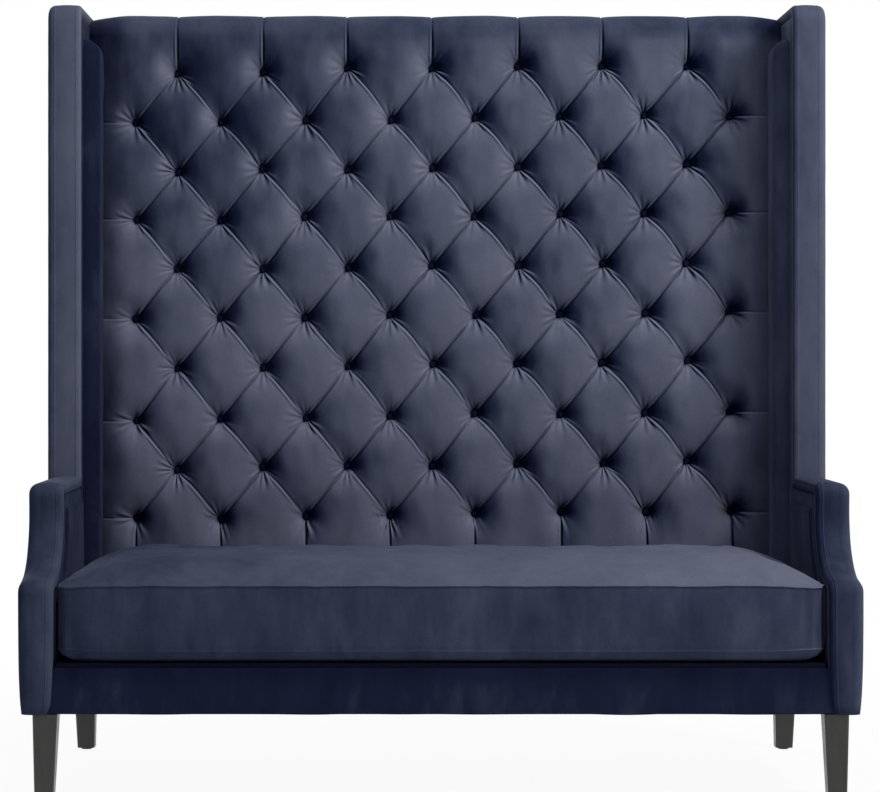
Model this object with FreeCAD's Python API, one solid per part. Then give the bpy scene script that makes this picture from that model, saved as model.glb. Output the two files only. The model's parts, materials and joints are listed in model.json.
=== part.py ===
import FreeCAD, Part
import math
import os

# High back settee with wings, a deep-buttoned back, scooped arms and one loose bench cushion.
# Millimetres. Origin on the floor under the middle of the settee, +X to the right of someone
# who looks at it, the front faces -Y, +Z up. Pieces are modelled on the +X side and mirrored.

# Overall size
width = 1700.0
depth = 760.0
height = 1663.0
leg_height = 172.0
back_lean = 28.0

# Arms and wings: padded facings over a boarded frame
side_width = 72.0
facing_depth = 24.0
facing_round = 15.0
facing_crown = 1.5
seam_clearance = 0.1
panel_thickness = 8.0
board_thickness = 34.0
arm_height = 631.0
shoulder_height = 439.0
shoulder_rise = 33.0
shoulder_round = 30.0
scoop_depth = 170.0
scoop_round = 120.0
nose_lean = 12.0
nose_round = 28.0
wing_depth = 298.0
wing_corner_round = 40.0
wing_edge_round = 13.0
arm_pad_border = 30.0
arm_pad_rise = 5.5
arm_pad_round = 4.0
wing_pad_rise = 35.0
wing_pad_round = 28.0
wing_pad_set_back = 48.0
wing_pad_top_drop = 71.0

# Side frame
arm_board_depth = 190.0
arm_rail_height = 34.0
side_bottom_rail_height = 60.0
post_depth = 40.0
wing_rail_height = 34.0

# Seat box
border_set_back = 14.0
border_thickness = 10.0
border_round = 4.0
end_rail_thickness = 26.0
side_rail_thickness = 42.0
side_rail_height = 91.0
cross_rail_height = 50.0
cross_rail_thickness = 24.0
cross_rail_place = 260.0
corner_block_leg = 72.0
corner_block_height = 66.0
strap_thickness = 1.5
strap_width = 60.0
strap_bearing = 20.0
lengthways_straps = 14
crossways_straps = 5
deck_thickness = 9.5

# Back frame and its layers, from the rear plane forwards
back_frame_thickness = 32.0
base_foam_thickness = 40.0
tuft_thickness = 61.0
stile_width = 64.0
back_rail_height = 80.0
tack_rail_height = 50.0
tack_rail_level = 136.0
upright_width = 50.0
upright_place = 250.0
back_straps = 8

# Buttoning: long rows and short rows in turn, the lowest row a long one
button_rows = 10
button_columns = 8
top_row_drop = 131.5
bottom_row_height = 524.0
outer_button_reach = 667.3
pit_depth = 42.0
pleat_swell = 10.0
diamond_swell = 22.0
edge_swell = 14.0
side_swell = 24.0
edge_valley_depth = 8.0
side_edge_depth = 25.0
side_valley_depth = 32.0
roll_start_drop = 55.0
roll_depth = 64.0
scallop_dip = 3.0
button_radius = 9.0
button_cone = 14.0
button_dome = 5.0
button_crown_radius = 5.5
button_sides = 8

# Bench cushion
cushion_crown_height = 480.0
cushion_seam_height = 430.0
cushion_foot_seam_height = 300.0
cushion_front_set_back = 4.0
cushion_side_gap = 7.0
cushion_back_gap = 3.5
notch_gap = 4.0
notch_lead = 12.0
corner_draw = 8.0
crown_reach = 150.0
foot_reach = 30.0
cover_thickness = 3.0
zip_width = 10.0
zip_thickness = 1.5
zip_margin = 180.0

# Legs and their fixings
leg_top = 50.0
leg_foot = 38.0
leg_outside_lean = 3.0
leg_side_inset = 30.0
leg_front_inset = 12.0
leg_rear_inset = 2.0
leg_edge_round = 3.0
glide_height = 4.0
glide_radius = 12.0
bolt_radius = 4.0
bolt_in_leg = 40.0
bolt_in_frame = 45.0
hole_clearance = 0.15
dust_cover_thickness = 1.0
dust_cover_margin = 15.0
dust_cover_leg_gap = 1.5

# Space between the lifted-out cushion and what it lies on, and between curved neighbours
body_clearance = 0.3

# How closely flat facets follow the soft forms
facets_across = 4
facets_over_roll = 3
turn_step = 0.2
round_steps = 3
cushion_steps = (0.0, 0.08, 0.2, 0.4, 0.7, 1.0)
rear_steps = (0.5, 0.2)
longest_bend_share = 0.95
sewing_tolerance = 0.01
nearly_zero = 1e-6

# Places that follow from the sizes above
half_width = width / 2
front = -depth / 2
rear = depth / 2
slab_inner = half_width - side_width
panel_inner = half_width - panel_thickness
board_inner = panel_inner - board_thickness
rail_inner = board_inner - side_rail_thickness
lean = back_lean / (height - leg_height)
facing_back = front + facing_depth
facing_under = height - facing_depth
arm_facing_under = arm_height - facing_depth
wing_front = rear - wing_depth
wing_facing_back = wing_front + facing_depth
wing_pad_inner = slab_inner - wing_pad_rise
wing_pad_front = wing_front + wing_pad_set_back
wing_pad_top = height - wing_pad_top_drop
side_rail_top = leg_height + side_rail_height
end_rail_top = side_rail_top + strap_thickness
strap_top = end_rail_top + strap_thickness
deck_top = strap_top + deck_thickness
border_front = front + border_set_back
border_back = border_front + border_thickness
half_deck = slab_inner - arm_pad_rise - body_clearance
tack_rail_bottom = leg_height + tack_rail_level
half_back = slab_inner - body_clearance
cushion_base = deck_top + body_clearance
beyond = 2 * height


def rear_plane(z, layer=0.0):
    """How far back the leaning rear plane stands at a height, less a layer's depth in front."""
    return rear - (height - z) * lean - layer


frame_back = panel_thickness
frame_front = frame_back + back_frame_thickness
foam_back = frame_front + strap_thickness
foam_front = foam_back + base_foam_thickness
crown_layer = foam_front + tuft_thickness
seat_box_back = rear_plane(leg_height, frame_front)


def vec(x, y, z):
    return FreeCAD.Vector(x, y, z)


def save(name, shape):
    shape.exportStep("parts/" + name + ".step")


def mirrored(shape):
    """The same piece on the other side of the settee."""
    return shape.mirror(vec(0, 0, 0), vec(1, 0, 0))


def save_pair(name, shape):
    save(name + "_right", shape)
    save(name + "_left", mirrored(shape))


def block(x0, x1, y0, y1, z0, z1):
    return Part.makeBox(x1 - x0, y1 - y0, z1 - z0, vec(x0, y0, z0))


def group(shapes):
    return Part.makeCompound(shapes)


def closed_solid(faces):
    """One solid from faces that share their edges, whichever way they are listed."""
    shell = Part.makeCompound(faces)
    shell.sewShape(sewing_tolerance)
    solid = Part.Solid(shell.Shells[0])
    solid.fix(sewing_tolerance, sewing_tolerance, sewing_tolerance)
    if solid.Volume < 0:
        solid.reverse()
    return solid


def flat_face(points):
    return Part.Face(Part.makePolygon(points + points[:1]))


def skin_between(ring, following):
    """Flat faces between two rings of as many points: whole where four lie flat, else in two."""
    faces = []
    count = len(ring)
    for i in range(count):
        j = (i + 1) % count
        a, b, c, d = ring[i], ring[j], following[j], following[i]
        across = (b - a).cross(d - a)
        if abs(across.dot(c - a)) < nearly_zero * across.Length:
            faces.append(flat_face([a, b, c, d]))
        else:
            faces += [flat_face([a, b, c]), flat_face([a, c, d])]
    return faces


def ring_solid(rings):
    """Solid through rings of points, with its first and last ring closed flat."""
    faces = [flat_face(rings[0]), flat_face(rings[-1])]
    for ring, following in zip(rings, rings[1:]):
        faces += skin_between(ring, following)
    return closed_solid(faces)


class Bend:
    """A rounded corner of an outline: where its arc starts and ends, its centre and radius."""

    def __init__(self, corner, before, after, reach):
        to_before = (before - corner).normalize()
        to_after = (after - corner).normalize()
        half_turn = (math.pi - to_before.getAngle(to_after)) / 2
        bisector = (to_before + to_after).normalize()
        self.radius = reach / math.tan(half_turn)
        self.start = corner + to_before * reach
        self.end = corner + to_after * reach
        self.centre = corner + bisector * math.hypot(self.radius, reach)
        self.middle = self.centre - bisector * self.radius


def bends(corners, closed):
    """The bends of an outline through (y, z, radius) corners, rounded as far as they have room."""
    points = [vec(0, y, z) for y, z, _ in corners]
    count = len(points)
    reach = []
    for i, (_, _, radius) in enumerate(corners):
        to_before = points[i - 1] - points[i]
        to_after = points[(i + 1) % count] - points[i]
        reach.append(radius * math.tan((math.pi - to_before.getAngle(to_after)) / 2))
    for i in range(count if closed else count - 1):
        run = points[i].distanceToPoint(points[(i + 1) % count])
        wanted = reach[i] + reach[(i + 1) % count]
        share = min(1.0, longest_bend_share * run / wanted) if wanted else 1.0
        reach[i] *= share
        reach[(i + 1) % count] *= share
    found = []
    for i, point in enumerate(points):
        inner = closed or 0 < i < count - 1
        found.append(Bend(point, points[i - 1], points[(i + 1) % count], reach[i] if inner else 0.0))
    return found


def rounded_face(corners):
    """Face in the y-z plane through (y, z, radius) corners."""
    found = bends(corners, True)
    edges = [Part.Arc(b.start, b.middle, b.end).toShape() for b in found if b.radius > nearly_zero]
    for bend, following in zip(found, found[1:] + found[:1]):
        if bend.end.distanceToPoint(following.start) > nearly_zero:
            edges.append(Part.LineSegment(bend.end, following.start).toShape())
    return Part.Face(Part.Wire(Part.__sortEdges__(edges)))


def stations(corners):
    """Points along an open outline with their normals into the padding, close set round bends."""
    points = [vec(0, y, z) for y, z, _ in corners]
    found = bends(corners, False)
    along = []
    for i, bend in enumerate(found):
        first = points[1] - points[0] if i == 0 else points[i] - points[i - 1]
        last = points[i + 1] - points[i] if i + 1 < len(points) else first
        heading = math.atan2(first.z, first.y)
        turn = math.atan2(last.z, last.y) - heading
        steps = max(1, math.ceil(abs(turn) / turn_step)) if bend.radius > nearly_zero else 0
        for step in range(steps + 1):
            angle = heading + (turn * step / steps if steps else 0.0)
            normal = vec(0, math.sin(angle), -math.cos(angle))
            side = math.copysign(1.0, turn)
            point = bend.centre + normal * (side * bend.radius)
            along.append((point if steps else points[i], normal))
    return along


def extruded(face, x0, x1):
    """A face of the y-z plane as a slab between two x planes."""
    slab = face.extrude(vec(x1 - x0, 0, 0))
    slab.translate(vec(x0, 0, 0))
    return slab


def prism(corners, x0, x1):
    return extruded(rounded_face([(y, z, 0) for y, z in corners]), x0, x1)


def leaning(x0, x1, layer_back, layer_front, z0, z1):
    """A board or slab parallel to the leaning rear plane, between two of its layers."""
    corners = [
        (rear_plane(z0, layer_front), z0),
        (rear_plane(z0, layer_back), z0),
        (rear_plane(z1, layer_back), z1),
        (rear_plane(z1, layer_front), z1),
    ]
    return prism(corners, x0, x1)


def before_layer(layer, z0, z1, y0=front):
    """Cutting body: everything in front of a layer of the back, between two heights."""
    corners = [(y0, z0), (rear_plane(z0, layer), z0), (rear_plane(z1, layer), z1), (y0, z1)]
    return prism(corners, -half_width, half_width)


def spans(low, high, place):
    return abs(low - place) < nearly_zero and abs(high - place) < nearly_zero


def edges_at(shape, x=None, y=None, z=None):
    """Edges that lie wholly in each of the planes given."""
    found = []
    for edge in shape.Edges:
        b = edge.BoundBox
        tests = ((b.XMin, b.XMax, x), (b.YMin, b.YMax, y), (b.ZMin, b.ZMax, z))
        if all(place is None or spans(low, high, place) for low, high, place in tests):
            found.append(edge)
    return found


# Arm and wing outlines, seen from the side

def arm_corners():
    """Arm: upright front, rounded shoulder, scoop and nose, up to the level top."""
    nose = front + scoop_depth - nose_lean
    return [
        (front, shoulder_height, shoulder_round),
        (front + scoop_depth, shoulder_height + shoulder_rise, scoop_round),
        (nose, arm_height, nose_round),
    ]


def wing_corners():
    """Wing: upright front edge and rounded top corner."""
    return [(wing_front, height, wing_corner_round)]


def endless_face(corners):
    """The corners' outline carried on far below and far behind."""
    first_y = corners[0][0]
    last_z = corners[-1][1]
    return rounded_face([(first_y, -beyond, 0)] + corners + [(beyond, last_z, 0), (beyond, -beyond, 0)])


def inside(face, inset):
    return Part.Face(face.OuterWire.makeOffset2D(-inset))


arm_frame_outline = inside(endless_face(arm_corners()), facing_depth + seam_clearance)
wing_frame_outline = inside(endless_face(wing_corners()), facing_depth + seam_clearance)


def rolled_edge(side_x, roll):
    """Corners from a band's side round to its face; the roll's sign points to the middle."""
    points = []
    for step in range(round_steps + 1):
        angle = math.pi / 2 * step / round_steps
        x = side_x + roll * (1 - math.cos(angle))
        points.append((x, facing_crown + (abs(roll) - facing_crown) * (1 - math.sin(angle))))
    return points


def facing_section(outer_round):
    """The padded band cut across: (x, depth) corners, crowned, both outer edges rolled over."""
    section = [(half_width, facing_depth)] + rolled_edge(half_width, -outer_round)
    section.append(((half_width + slab_inner) / 2, 0.0))
    section += rolled_edge(slab_inner, facing_round)[::-1] + [(slab_inner, facing_depth)]
    return section


def facing(corners, outer_round):
    """Padded band along an open outline, its thickness towards the frame."""
    section = facing_section(outer_round)
    rings = []
    for point, normal in stations(corners):
        ring = [vec(x, point.y + normal.y * inset, point.z + normal.z * inset) for x, inset in section]
        rings.append(ring)
    return ring_solid(rings)


def within(outline, x0, x1, keep):
    return extruded(outline, x0, x1).common(keep)


def build_sides():
    arm_line = [(front, leg_height, 0)] + arm_corners() + [(wing_facing_back, arm_height, 0)]
    save_pair("arm_facing", facing(arm_line, facing_round))
    wing_line = [(wing_front, arm_height, 0)] + wing_corners() + [(rear, height, 0)]
    wing_facing = facing(wing_line, min(wing_edge_round, facing_depth - facing_crown))
    save_pair("wing_facing", wing_facing.common(before_layer(0.0, arm_height, height)))

    arm_panel_keep = before_layer(0.0, leg_height, arm_facing_under)
    save_pair("outside_arm_panel", within(arm_frame_outline, panel_inner, half_width, arm_panel_keep))
    wing_panel_keep = before_layer(0.0, arm_facing_under, facing_under, wing_facing_back)
    save_pair("outside_wing_panel", within(wing_frame_outline, panel_inner, half_width, wing_panel_keep))

    board_back = facing_back + arm_board_depth
    board_keep = block(0, half_width, front, board_back, leg_height, arm_facing_under)
    save_pair("arm_front_board", within(arm_frame_outline, board_inner, panel_inner, board_keep))
    rail_bottom = arm_facing_under - arm_rail_height
    arm_rail = block(board_inner, panel_inner, board_back, wing_facing_back, rail_bottom, arm_facing_under)
    save_pair("arm_top_rail", arm_rail)
    bottom_rail_top = leg_height + side_bottom_rail_height
    bottom_rail = block(board_inner, panel_inner, board_back, wing_facing_back, leg_height, bottom_rail_top)
    save_pair("side_bottom_rail", bottom_rail)

    post_top = facing_under - wing_rail_height
    wing_post_back = wing_facing_back + post_depth
    wing_post = block(board_inner, panel_inner, wing_facing_back, wing_post_back, leg_height, post_top)
    save_pair("wing_post", wing_post)
    rail_keep = before_layer(frame_back, post_top, facing_under, wing_facing_back)
    save_pair("wing_top_rail", within(wing_frame_outline, board_inner, panel_inner, rail_keep))
    rear_post = leaning(board_inner, panel_inner, frame_back, frame_back + post_depth, leg_height, post_top)
    save_pair("rear_post", rear_post)

    save_pair("arm_pad", build_arm_pad())
    save_pair("wing_pad", build_wing_pad())


def build_arm_pad():
    """Flat inner lining of the arm, with a raised field inside a border."""
    keep = block(0, half_width, front, wing_facing_back, side_rail_top, arm_facing_under)
    lining = within(arm_frame_outline, slab_inner, board_inner, keep)
    field = extruded(inside(arm_frame_outline, arm_pad_border), slab_inner - arm_pad_rise, slab_inner)
    field = field.makeChamfer(arm_pad_round, edges_at(field, x=slab_inner - arm_pad_rise))
    return lining.fuse(field.common(keep)).removeSplitter()


def build_wing_pad():
    """Inner lining of the wing and the full pad on it, which ends at the buttoned back."""
    lining_keep = before_layer(frame_front, deck_top, facing_under, wing_facing_back)
    lining = within(wing_frame_outline, slab_inner, board_inner, lining_keep)
    pad_back = crown_layer + body_clearance
    pad = block(wing_pad_inner, board_inner, wing_pad_front, rear, -height, wing_pad_top)
    rolled = edges_at(pad, x=wing_pad_inner, y=wing_pad_front)
    rolled += edges_at(pad, x=wing_pad_inner, z=wing_pad_top)
    pad = pad.makeFillet(wing_pad_round, rolled)
    pad = pad.common(before_layer(pad_back, deck_top, wing_pad_top))
    return lining.fuse(pad).removeSplitter()


# Seat box, webbing, deck and border

def evenly(count, low, high):
    step = (high - low) / count
    return [low + step * (i + 0.5) for i in range(count)]


def build_seat_box(leg_centres):
    rail_front = border_back
    front_rail_back = rail_front + end_rail_thickness
    rear_rail_front = seat_box_back - end_rail_thickness
    front_rail = block(-rail_inner, rail_inner, rail_front, front_rail_back, leg_height, end_rail_top)
    save("front_seat_rail", front_rail)
    rear_rail = block(-rail_inner, rail_inner, rear_rail_front, seat_box_back, leg_height, end_rail_top)
    save("rear_seat_rail", rear_rail)
    side_rail = block(rail_inner, board_inner, rail_front, seat_box_back, leg_height, side_rail_top)
    save_pair("side_seat_rail", side_rail.cut(bolt_hole(leg_centres["front"])))

    cross_top = leg_height + cross_rail_height
    half_cross = cross_rail_thickness / 2
    cross_rails = [
        block(x - half_cross, x + half_cross, front_rail_back, rear_rail_front, leg_height, cross_top)
        for x in (-cross_rail_place, cross_rail_place)
    ]
    save("seat_cross_rails", group(cross_rails))

    blocks = []
    for y, reach in ((front_rail_back, corner_block_leg), (rear_rail_front, -corner_block_leg)):
        base = Part.makePolygon([
            vec(rail_inner, y, leg_height),
            vec(rail_inner - corner_block_leg, y, leg_height),
            vec(rail_inner, y + reach, leg_height),
            vec(rail_inner, y, leg_height),
        ])
        corner_block = Part.Face(base).extrude(vec(0, 0, corner_block_height))
        blocks += [corner_block, mirrored(corner_block)]
    save("corner_blocks", group(blocks))

    strap_front = front_rail_back - strap_bearing
    strap_back = rear_rail_front + strap_bearing
    half_strap = strap_width / 2
    lengthways = [
        block(x - half_strap, x + half_strap, strap_front, strap_back, end_rail_top, strap_top)
        for x in evenly(lengthways_straps, -rail_inner, rail_inner)
    ]
    save("seat_webbing_lengthways", group(lengthways))
    half_strap_run = min(rail_inner + strap_bearing, half_deck)
    crossways = [
        block(-half_strap_run, half_strap_run, y - half_strap, y + half_strap, side_rail_top, end_rail_top)
        for y in evenly(crossways_straps, front_rail_back, rear_rail_front)
    ]
    save("seat_webbing_crossways", group(crossways))

    deck = block(-half_deck, half_deck, border_front, seat_box_back, strap_top, deck_top)
    deck_edge = edges_at(deck, y=border_front, z=deck_top)
    save("seat_deck", deck.makeFillet(min(border_round, deck_thickness / 2), deck_edge))
    border = block(-slab_inner, slab_inner, border_front, border_back, leg_height, strap_top)
    border_edges = edges_at(border, y=border_front, z=leg_height)
    border_edges += edges_at(border, y=border_front, z=strap_top)
    save("front_border", border.makeFillet(min(border_round, border_thickness / 2), border_edges))


# Back frame, webbing, foam and outside panel

def build_back_frame(leg_centres):
    stile_inner = board_inner - stile_width
    top_rail_bottom = facing_under - back_rail_height
    stile = leaning(stile_inner, board_inner, frame_back, frame_front, leg_height, top_rail_bottom)
    save_pair("back_stile", stile.cut(bolt_hole(leg_centres["rear"])))

    def rail(half_length, z0, z1):
        return leaning(-half_length, half_length, frame_back, frame_front, z0, z1)

    save("back_top_rail", rail(board_inner, top_rail_bottom, facing_under))
    tack_rail_top = tack_rail_bottom + tack_rail_height
    save("back_tack_rail", rail(stile_inner, tack_rail_bottom, tack_rail_top))
    save("back_bottom_rail", rail(stile_inner, leg_height, leg_height + back_rail_height))
    half_upright = upright_width / 2
    uprights = [
        leaning(x - half_upright, x + half_upright, frame_back, frame_front, tack_rail_top, top_rail_bottom)
        for x in (-upright_place, upright_place)
    ]
    save("back_uprights", group(uprights))

    half_strap = strap_width / 2
    half_run = stile_inner + strap_bearing
    straps = [
        leaning(-half_run, half_run, frame_front, foam_back, z - half_strap, z + half_strap)
        for z in evenly(back_straps, tack_rail_top, top_rail_bottom)
    ]
    save("back_webbing", group(straps))
    base_foam = leaning(-half_back, half_back, foam_back, foam_front, deck_top, facing_under)
    save("back_base_foam", base_foam)
    back_panel = leaning(-panel_inner, panel_inner, 0.0, frame_back, leg_height, facing_under)
    save("outside_back_panel", back_panel)


# Buttoned back: a net of curved panels that meet in pleats, with a pit at each button

PIT = "pit"
VALLEY = "valley"
CREST = "crest"
SIDE = "side"


class Knot:
    """A corner of the net: its place across and up the back, its depth, and what it is."""

    def __init__(self, x, z, depth_here, kind):
        self.x = x
        self.z = z
        self.depth = depth_here
        self.kind = kind


def back_point(x, z, depth_here):
    """A point at a depth behind the buttoned back's leaning front plane."""
    return vec(x, rear_plane(z, crown_layer) + depth_here, z)


row_pitch = (height - top_row_drop - bottom_row_height) / (button_rows - 1)
button_pitch = 2 * outer_button_reach / (button_columns - 1)
roll_start = height - roll_start_drop


def row_height(row):
    """Rows count down from the top, where row 0 is a short one."""
    return height - top_row_drop - row * row_pitch


def is_long(row):
    return (button_rows - 1 - row) % 2 == 0


def row_places(row):
    count = button_columns if is_long(row) else button_columns - 1
    first = -button_pitch * (count - 1) / 2
    return [first + button_pitch * i for i in range(count)]


first_side_row = 0 if is_long(0) else 1


def rows_of_pits():
    return [
        [Knot(x, row_height(row), pit_depth, PIT) for x in row_places(row)]
        for row in range(button_rows)
    ]


def edge_swell_between(a, b):
    """Depth of the middle pole of the edge between two knots."""
    kinds = {a.kind, b.kind}
    if kinds == {PIT}:
        return -pleat_swell
    if kinds == {PIT, VALLEY}:
        return (a.depth + b.depth) / 2
    if PIT in kinds:
        return -side_swell if SIDE in kinds else -edge_swell
    return min(a.depth, b.depth)


def edge_pole(a, b):
    return back_point((a.x + b.x) / 2, (a.z + b.z) / 2, edge_swell_between(a, b))


def panel_poles(a, b, c, d, swell):
    """Three by three poles of the curved panel with the knots a, b, c and d in a ring."""
    centre = back_point((a.x + b.x + c.x + d.x) / 4, (a.z + b.z + c.z + d.z) / 4, -swell)
    corner = [back_point(knot.x, knot.z, knot.depth) for knot in (a, b, c, d)]
    return [
        [corner[0], edge_pole(a, b), corner[1]],
        [edge_pole(a, d), centre, edge_pole(b, c)],
        [corner[3], edge_pole(d, c), corner[2]],
    ]


def weights(t):
    """Shares of the first, middle and last pole at a place along a curve."""
    return ((1 - t) ** 2, 2 * t * (1 - t), t ** 2)


def curve_points(poles, count):
    points = []
    for step in range(count + 1):
        total = vec(0, 0, 0)
        for pole, share in zip(poles, weights(step / count)):
            total += pole * share
        points.append(total)
    return points


def facets(poles, count_down, count_across):
    """Flat facets that follow the curved panel of three by three poles."""
    down = [curve_points([row[i] for row in poles], count_down) for i in range(3)]
    grid = [curve_points([column[i] for column in down], count_across) for i in range(count_down + 1)]
    faces = []
    for upper, lower in zip(grid, grid[1:]):
        for i in range(count_across):
            a, b, c, d = upper[i], upper[i + 1], lower[i + 1], lower[i]
            if a.distanceToPoint(c) > b.distanceToPoint(d) + nearly_zero:
                a, b, c, d = b, c, d, a
            faces += [flat_face([a, b, c]), flat_face([a, c, d])]
    return faces


def side_knots(sign):
    """Knots down one side edge: the top corner, one beside every row below it, the foot corner."""
    x = sign * half_back
    knots = [Knot(x, roll_start, side_edge_depth, SIDE)]
    for row in range(first_side_row, button_rows):
        if is_long(row):
            knots.append(Knot(x, row_height(row), side_valley_depth, VALLEY))
        else:
            knots.append(Knot(x, row_height(row), side_edge_depth, SIDE))
    knots.append(Knot(x, deck_top, side_edge_depth, SIDE))
    return knots


def end_knots(pits_at_edge, pits_inside, z, corners):
    """Knots along the top or bottom edge: valleys at the nearest row's pleats, crests between."""
    line = [Knot(pit.x, z, edge_valley_depth, VALLEY) for pit in pits_at_edge]
    line += [Knot(pit.x, z, 0.0, CREST) for pit in pits_inside]
    return sorted(line + corners, key=lambda knot: knot.x)


def zigzag(upper, lower):
    """The knots of two neighbouring rows in order across the back."""
    return sorted(upper + lower, key=lambda knot: knot.x)


def net_panels():
    """Poles of every panel between the roll's start and the seat deck, and the edge knots."""
    rows = rows_of_pits()
    panels = []
    for row in range(1, button_rows - 1):
        above = {round(knot.x, 3): knot for knot in rows[row - 1]}
        below = {round(knot.x, 3): knot for knot in rows[row + 1]}
        for left, right in zip(rows[row], rows[row][1:]):
            middle = round((left.x + right.x) / 2, 3)
            panels.append(panel_poles(above[middle], right, below[middle], left, diamond_swell))

    sides = {sign: side_knots(sign) for sign in (-1, 1)}
    for sign, knots in sides.items():
        outer = 0 if sign < 0 else -1
        for row in range(1, button_rows - 1):
            if is_long(row):
                continue
            above, pit, below = (rows[each][outer] for each in (row - 1, row, row + 1))
            beside = row - first_side_row + 1
            panels.append(panel_poles(pit, above, knots[beside - 1], knots[beside], side_swell))
            panels.append(panel_poles(pit, knots[beside], knots[beside + 1], below, side_swell))

    top_corners = [sides[-1][0], sides[1][0]]
    foot_corners = [sides[-1][-1], sides[1][-1]]
    top_line = end_knots(rows[0], rows[1], roll_start, top_corners)
    foot_line = end_knots(rows[-1], rows[-2], deck_top, foot_corners)
    top_inner = [sides[-1][1]] + zigzag(rows[0], rows[1]) + [sides[1][1]]
    foot_inner = [sides[-1][-2]] + zigzag(rows[-2], rows[-1]) + [sides[1][-2]]
    for inner, line in ((top_inner, top_line), (foot_inner, foot_line)):
        for i in range(len(line) - 1):
            panels.append(panel_poles(inner[i], inner[i + 1], line[i + 1], line[i], edge_swell))
    return panels, sides, top_line, top_inner, foot_line


def carried_up(inner, edge, level):
    """The point on the straight line from inner through edge, at a height."""
    share = (level - edge.z) / (edge.z - inner.z)
    return edge + (edge - inner) * share


def roll_rows(top_line, top_inner):
    """Poles of the roll over the top edge, row by row, from its start to the rear plane."""
    first = []
    under = []
    levels = []
    for i, knot in enumerate(top_line):
        dip = scallop_dip if knot.kind == VALLEY else 0.0
        first.append(back_point(knot.x, knot.z, knot.depth))
        under.append(edge_pole(top_inner[i], knot))
        levels.append(height - dip)
        if i + 1 < len(top_line):
            following = top_line[i + 1]
            first.append(edge_pole(knot, following))
            ring = (knot, following, top_inner[i + 1], top_inner[i])
            x = sum(each.x for each in ring) / 4
            z = sum(each.z for each in ring) / 4
            under.append(back_point(x, z, -edge_swell))
            levels.append(height)
    second = [carried_up(under[i], first[i], levels[i]) for i in range(len(first))]
    for i, pole in enumerate(first):
        second[i].x = pole.x
    third = [vec(p.x, rear_plane(height, crown_layer) + roll_depth, levels[i]) for i, p in enumerate(first)]
    fourth = [vec(p.x, rear_plane(height), levels[i]) for i, p in enumerate(first)]
    fifth = [vec(p.x, rear_plane(facing_under), facing_under) for p in first]
    return [first, second, third, fourth, fifth]


def between(a, b):
    """Points along the edge between two knots."""
    ends = [back_point(knot.x, knot.z, knot.depth) for knot in (a, b)]
    return curve_points([ends[0], edge_pole(a, b), ends[1]], facets_across)


def chain(pieces):
    """One run of points from runs that each start where the last one ended."""
    points = list(pieces[0])
    for piece in pieces[1:]:
        points += piece[1:]
    return points


def build_tufted_back():
    panels, sides, top_line, top_inner, foot_line = net_panels()
    faces = []
    for poles in panels:
        faces += facets(poles, facets_across, facets_across)
    rows = roll_rows(top_line, top_inner)
    for start in (0, 2):
        for i in range(len(top_line) - 1):
            patch = [row[2 * i:2 * i + 3] for row in rows[start:start + 3]]
            faces += facets(patch, facets_over_roll, facets_across)

    cap_front_y = rear_plane(facing_under, foam_front)
    foot_back_y = rear_plane(deck_top, foam_front)
    cap_corners = []
    foot_corners = []
    for sign, at in ((-1, 0), (1, -1)):
        knots = sides[sign]
        cap_front = vec(sign * half_back, cap_front_y, facing_under)
        foot_back = vec(sign * half_back, foot_back_y, deck_top)
        down_front = chain([between(a, b) for a, b in zip(knots, knots[1:])])
        over_roll = chain([
            curve_points([row[at] for row in rows[start:start + 3]], facets_over_roll)
            for start in (0, 2)
        ])
        ring = over_roll[::-1] + down_front[1:] + [foot_back, cap_front]
        faces.append(flat_face(ring))
        cap_corners.append(cap_front)
        foot_corners.append(foot_back)

    rear_edge = rows[4]
    cap_back = chain([
        curve_points(rear_edge[start:start + 3], facets_across)
        for start in range(0, len(rear_edge) - 2, 2)
    ])
    cap_ring = cap_back + [cap_corners[1], cap_corners[0]]
    faces.append(flat_face(cap_ring))
    back_ring = [cap_corners[0], cap_corners[1], foot_corners[1], foot_corners[0]]
    faces.append(flat_face(back_ring))
    foot_front = chain([between(a, b) for a, b in zip(foot_line, foot_line[1:])])
    foot_ring = foot_front + [foot_corners[1], foot_corners[0]]
    faces.append(flat_face(foot_ring))
    save("tufted_back", closed_solid(faces))


def button_at(x, z):
    """Covered button: a low dome whose underside tapers into the pit of the padding."""
    tip = back_point(x, z, pit_depth - body_clearance)
    rings = []
    for radius, rise in ((button_radius, button_cone), (button_crown_radius, button_cone + button_dome)):
        ring = []
        for i in range(button_sides):
            angle = 2 * math.pi * (i + 0.5) / button_sides
            ring.append(tip + vec(radius * math.cos(angle), -rise, radius * math.sin(angle)))
        rings.append(ring)
    cone = [flat_face([tip, a, b]) for a, b in zip(rings[0], rings[0][1:] + rings[0][:1])]
    return closed_solid(cone + skin_between(*rings) + [flat_face(rings[1])])


def build_buttons():
    buttons = []
    for row in range(button_rows):
        buttons += [button_at(x, row_height(row)) for x in row_places(row)]
    save("back_buttons", group(buttons))


# Bench cushion

def soft_rise(distance, reach):
    """Share of the full crown at a distance in from an edge."""
    share = min(max(distance / reach, 0.0), 1.0)
    return 1 - (1 - share) ** 2


def cushion_stations(inset):
    """(y, half width) stations from front to rear, narrower behind the wing pads' fronts."""
    half_front = slab_inner - cushion_side_gap - inset
    half_rear = wing_pad_inner - notch_gap - inset
    y_front = front + cushion_front_set_back + inset
    y_rear = rear_plane(cushion_base, crown_layer) - cushion_back_gap - inset
    notch = wing_pad_front - notch_lead - inset
    run = y_rear - notch
    found = [(y_front, half_front - corner_draw)]
    found += [(y_front + crown_reach * share, half_front) for share in cushion_steps[1:]]
    found += [(notch, half_front), (notch + notch_lead, half_rear)]
    found += [(y_rear - run * share, half_rear) for share in rear_steps]
    found.append((y_rear, half_rear - corner_draw))
    return found


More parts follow.
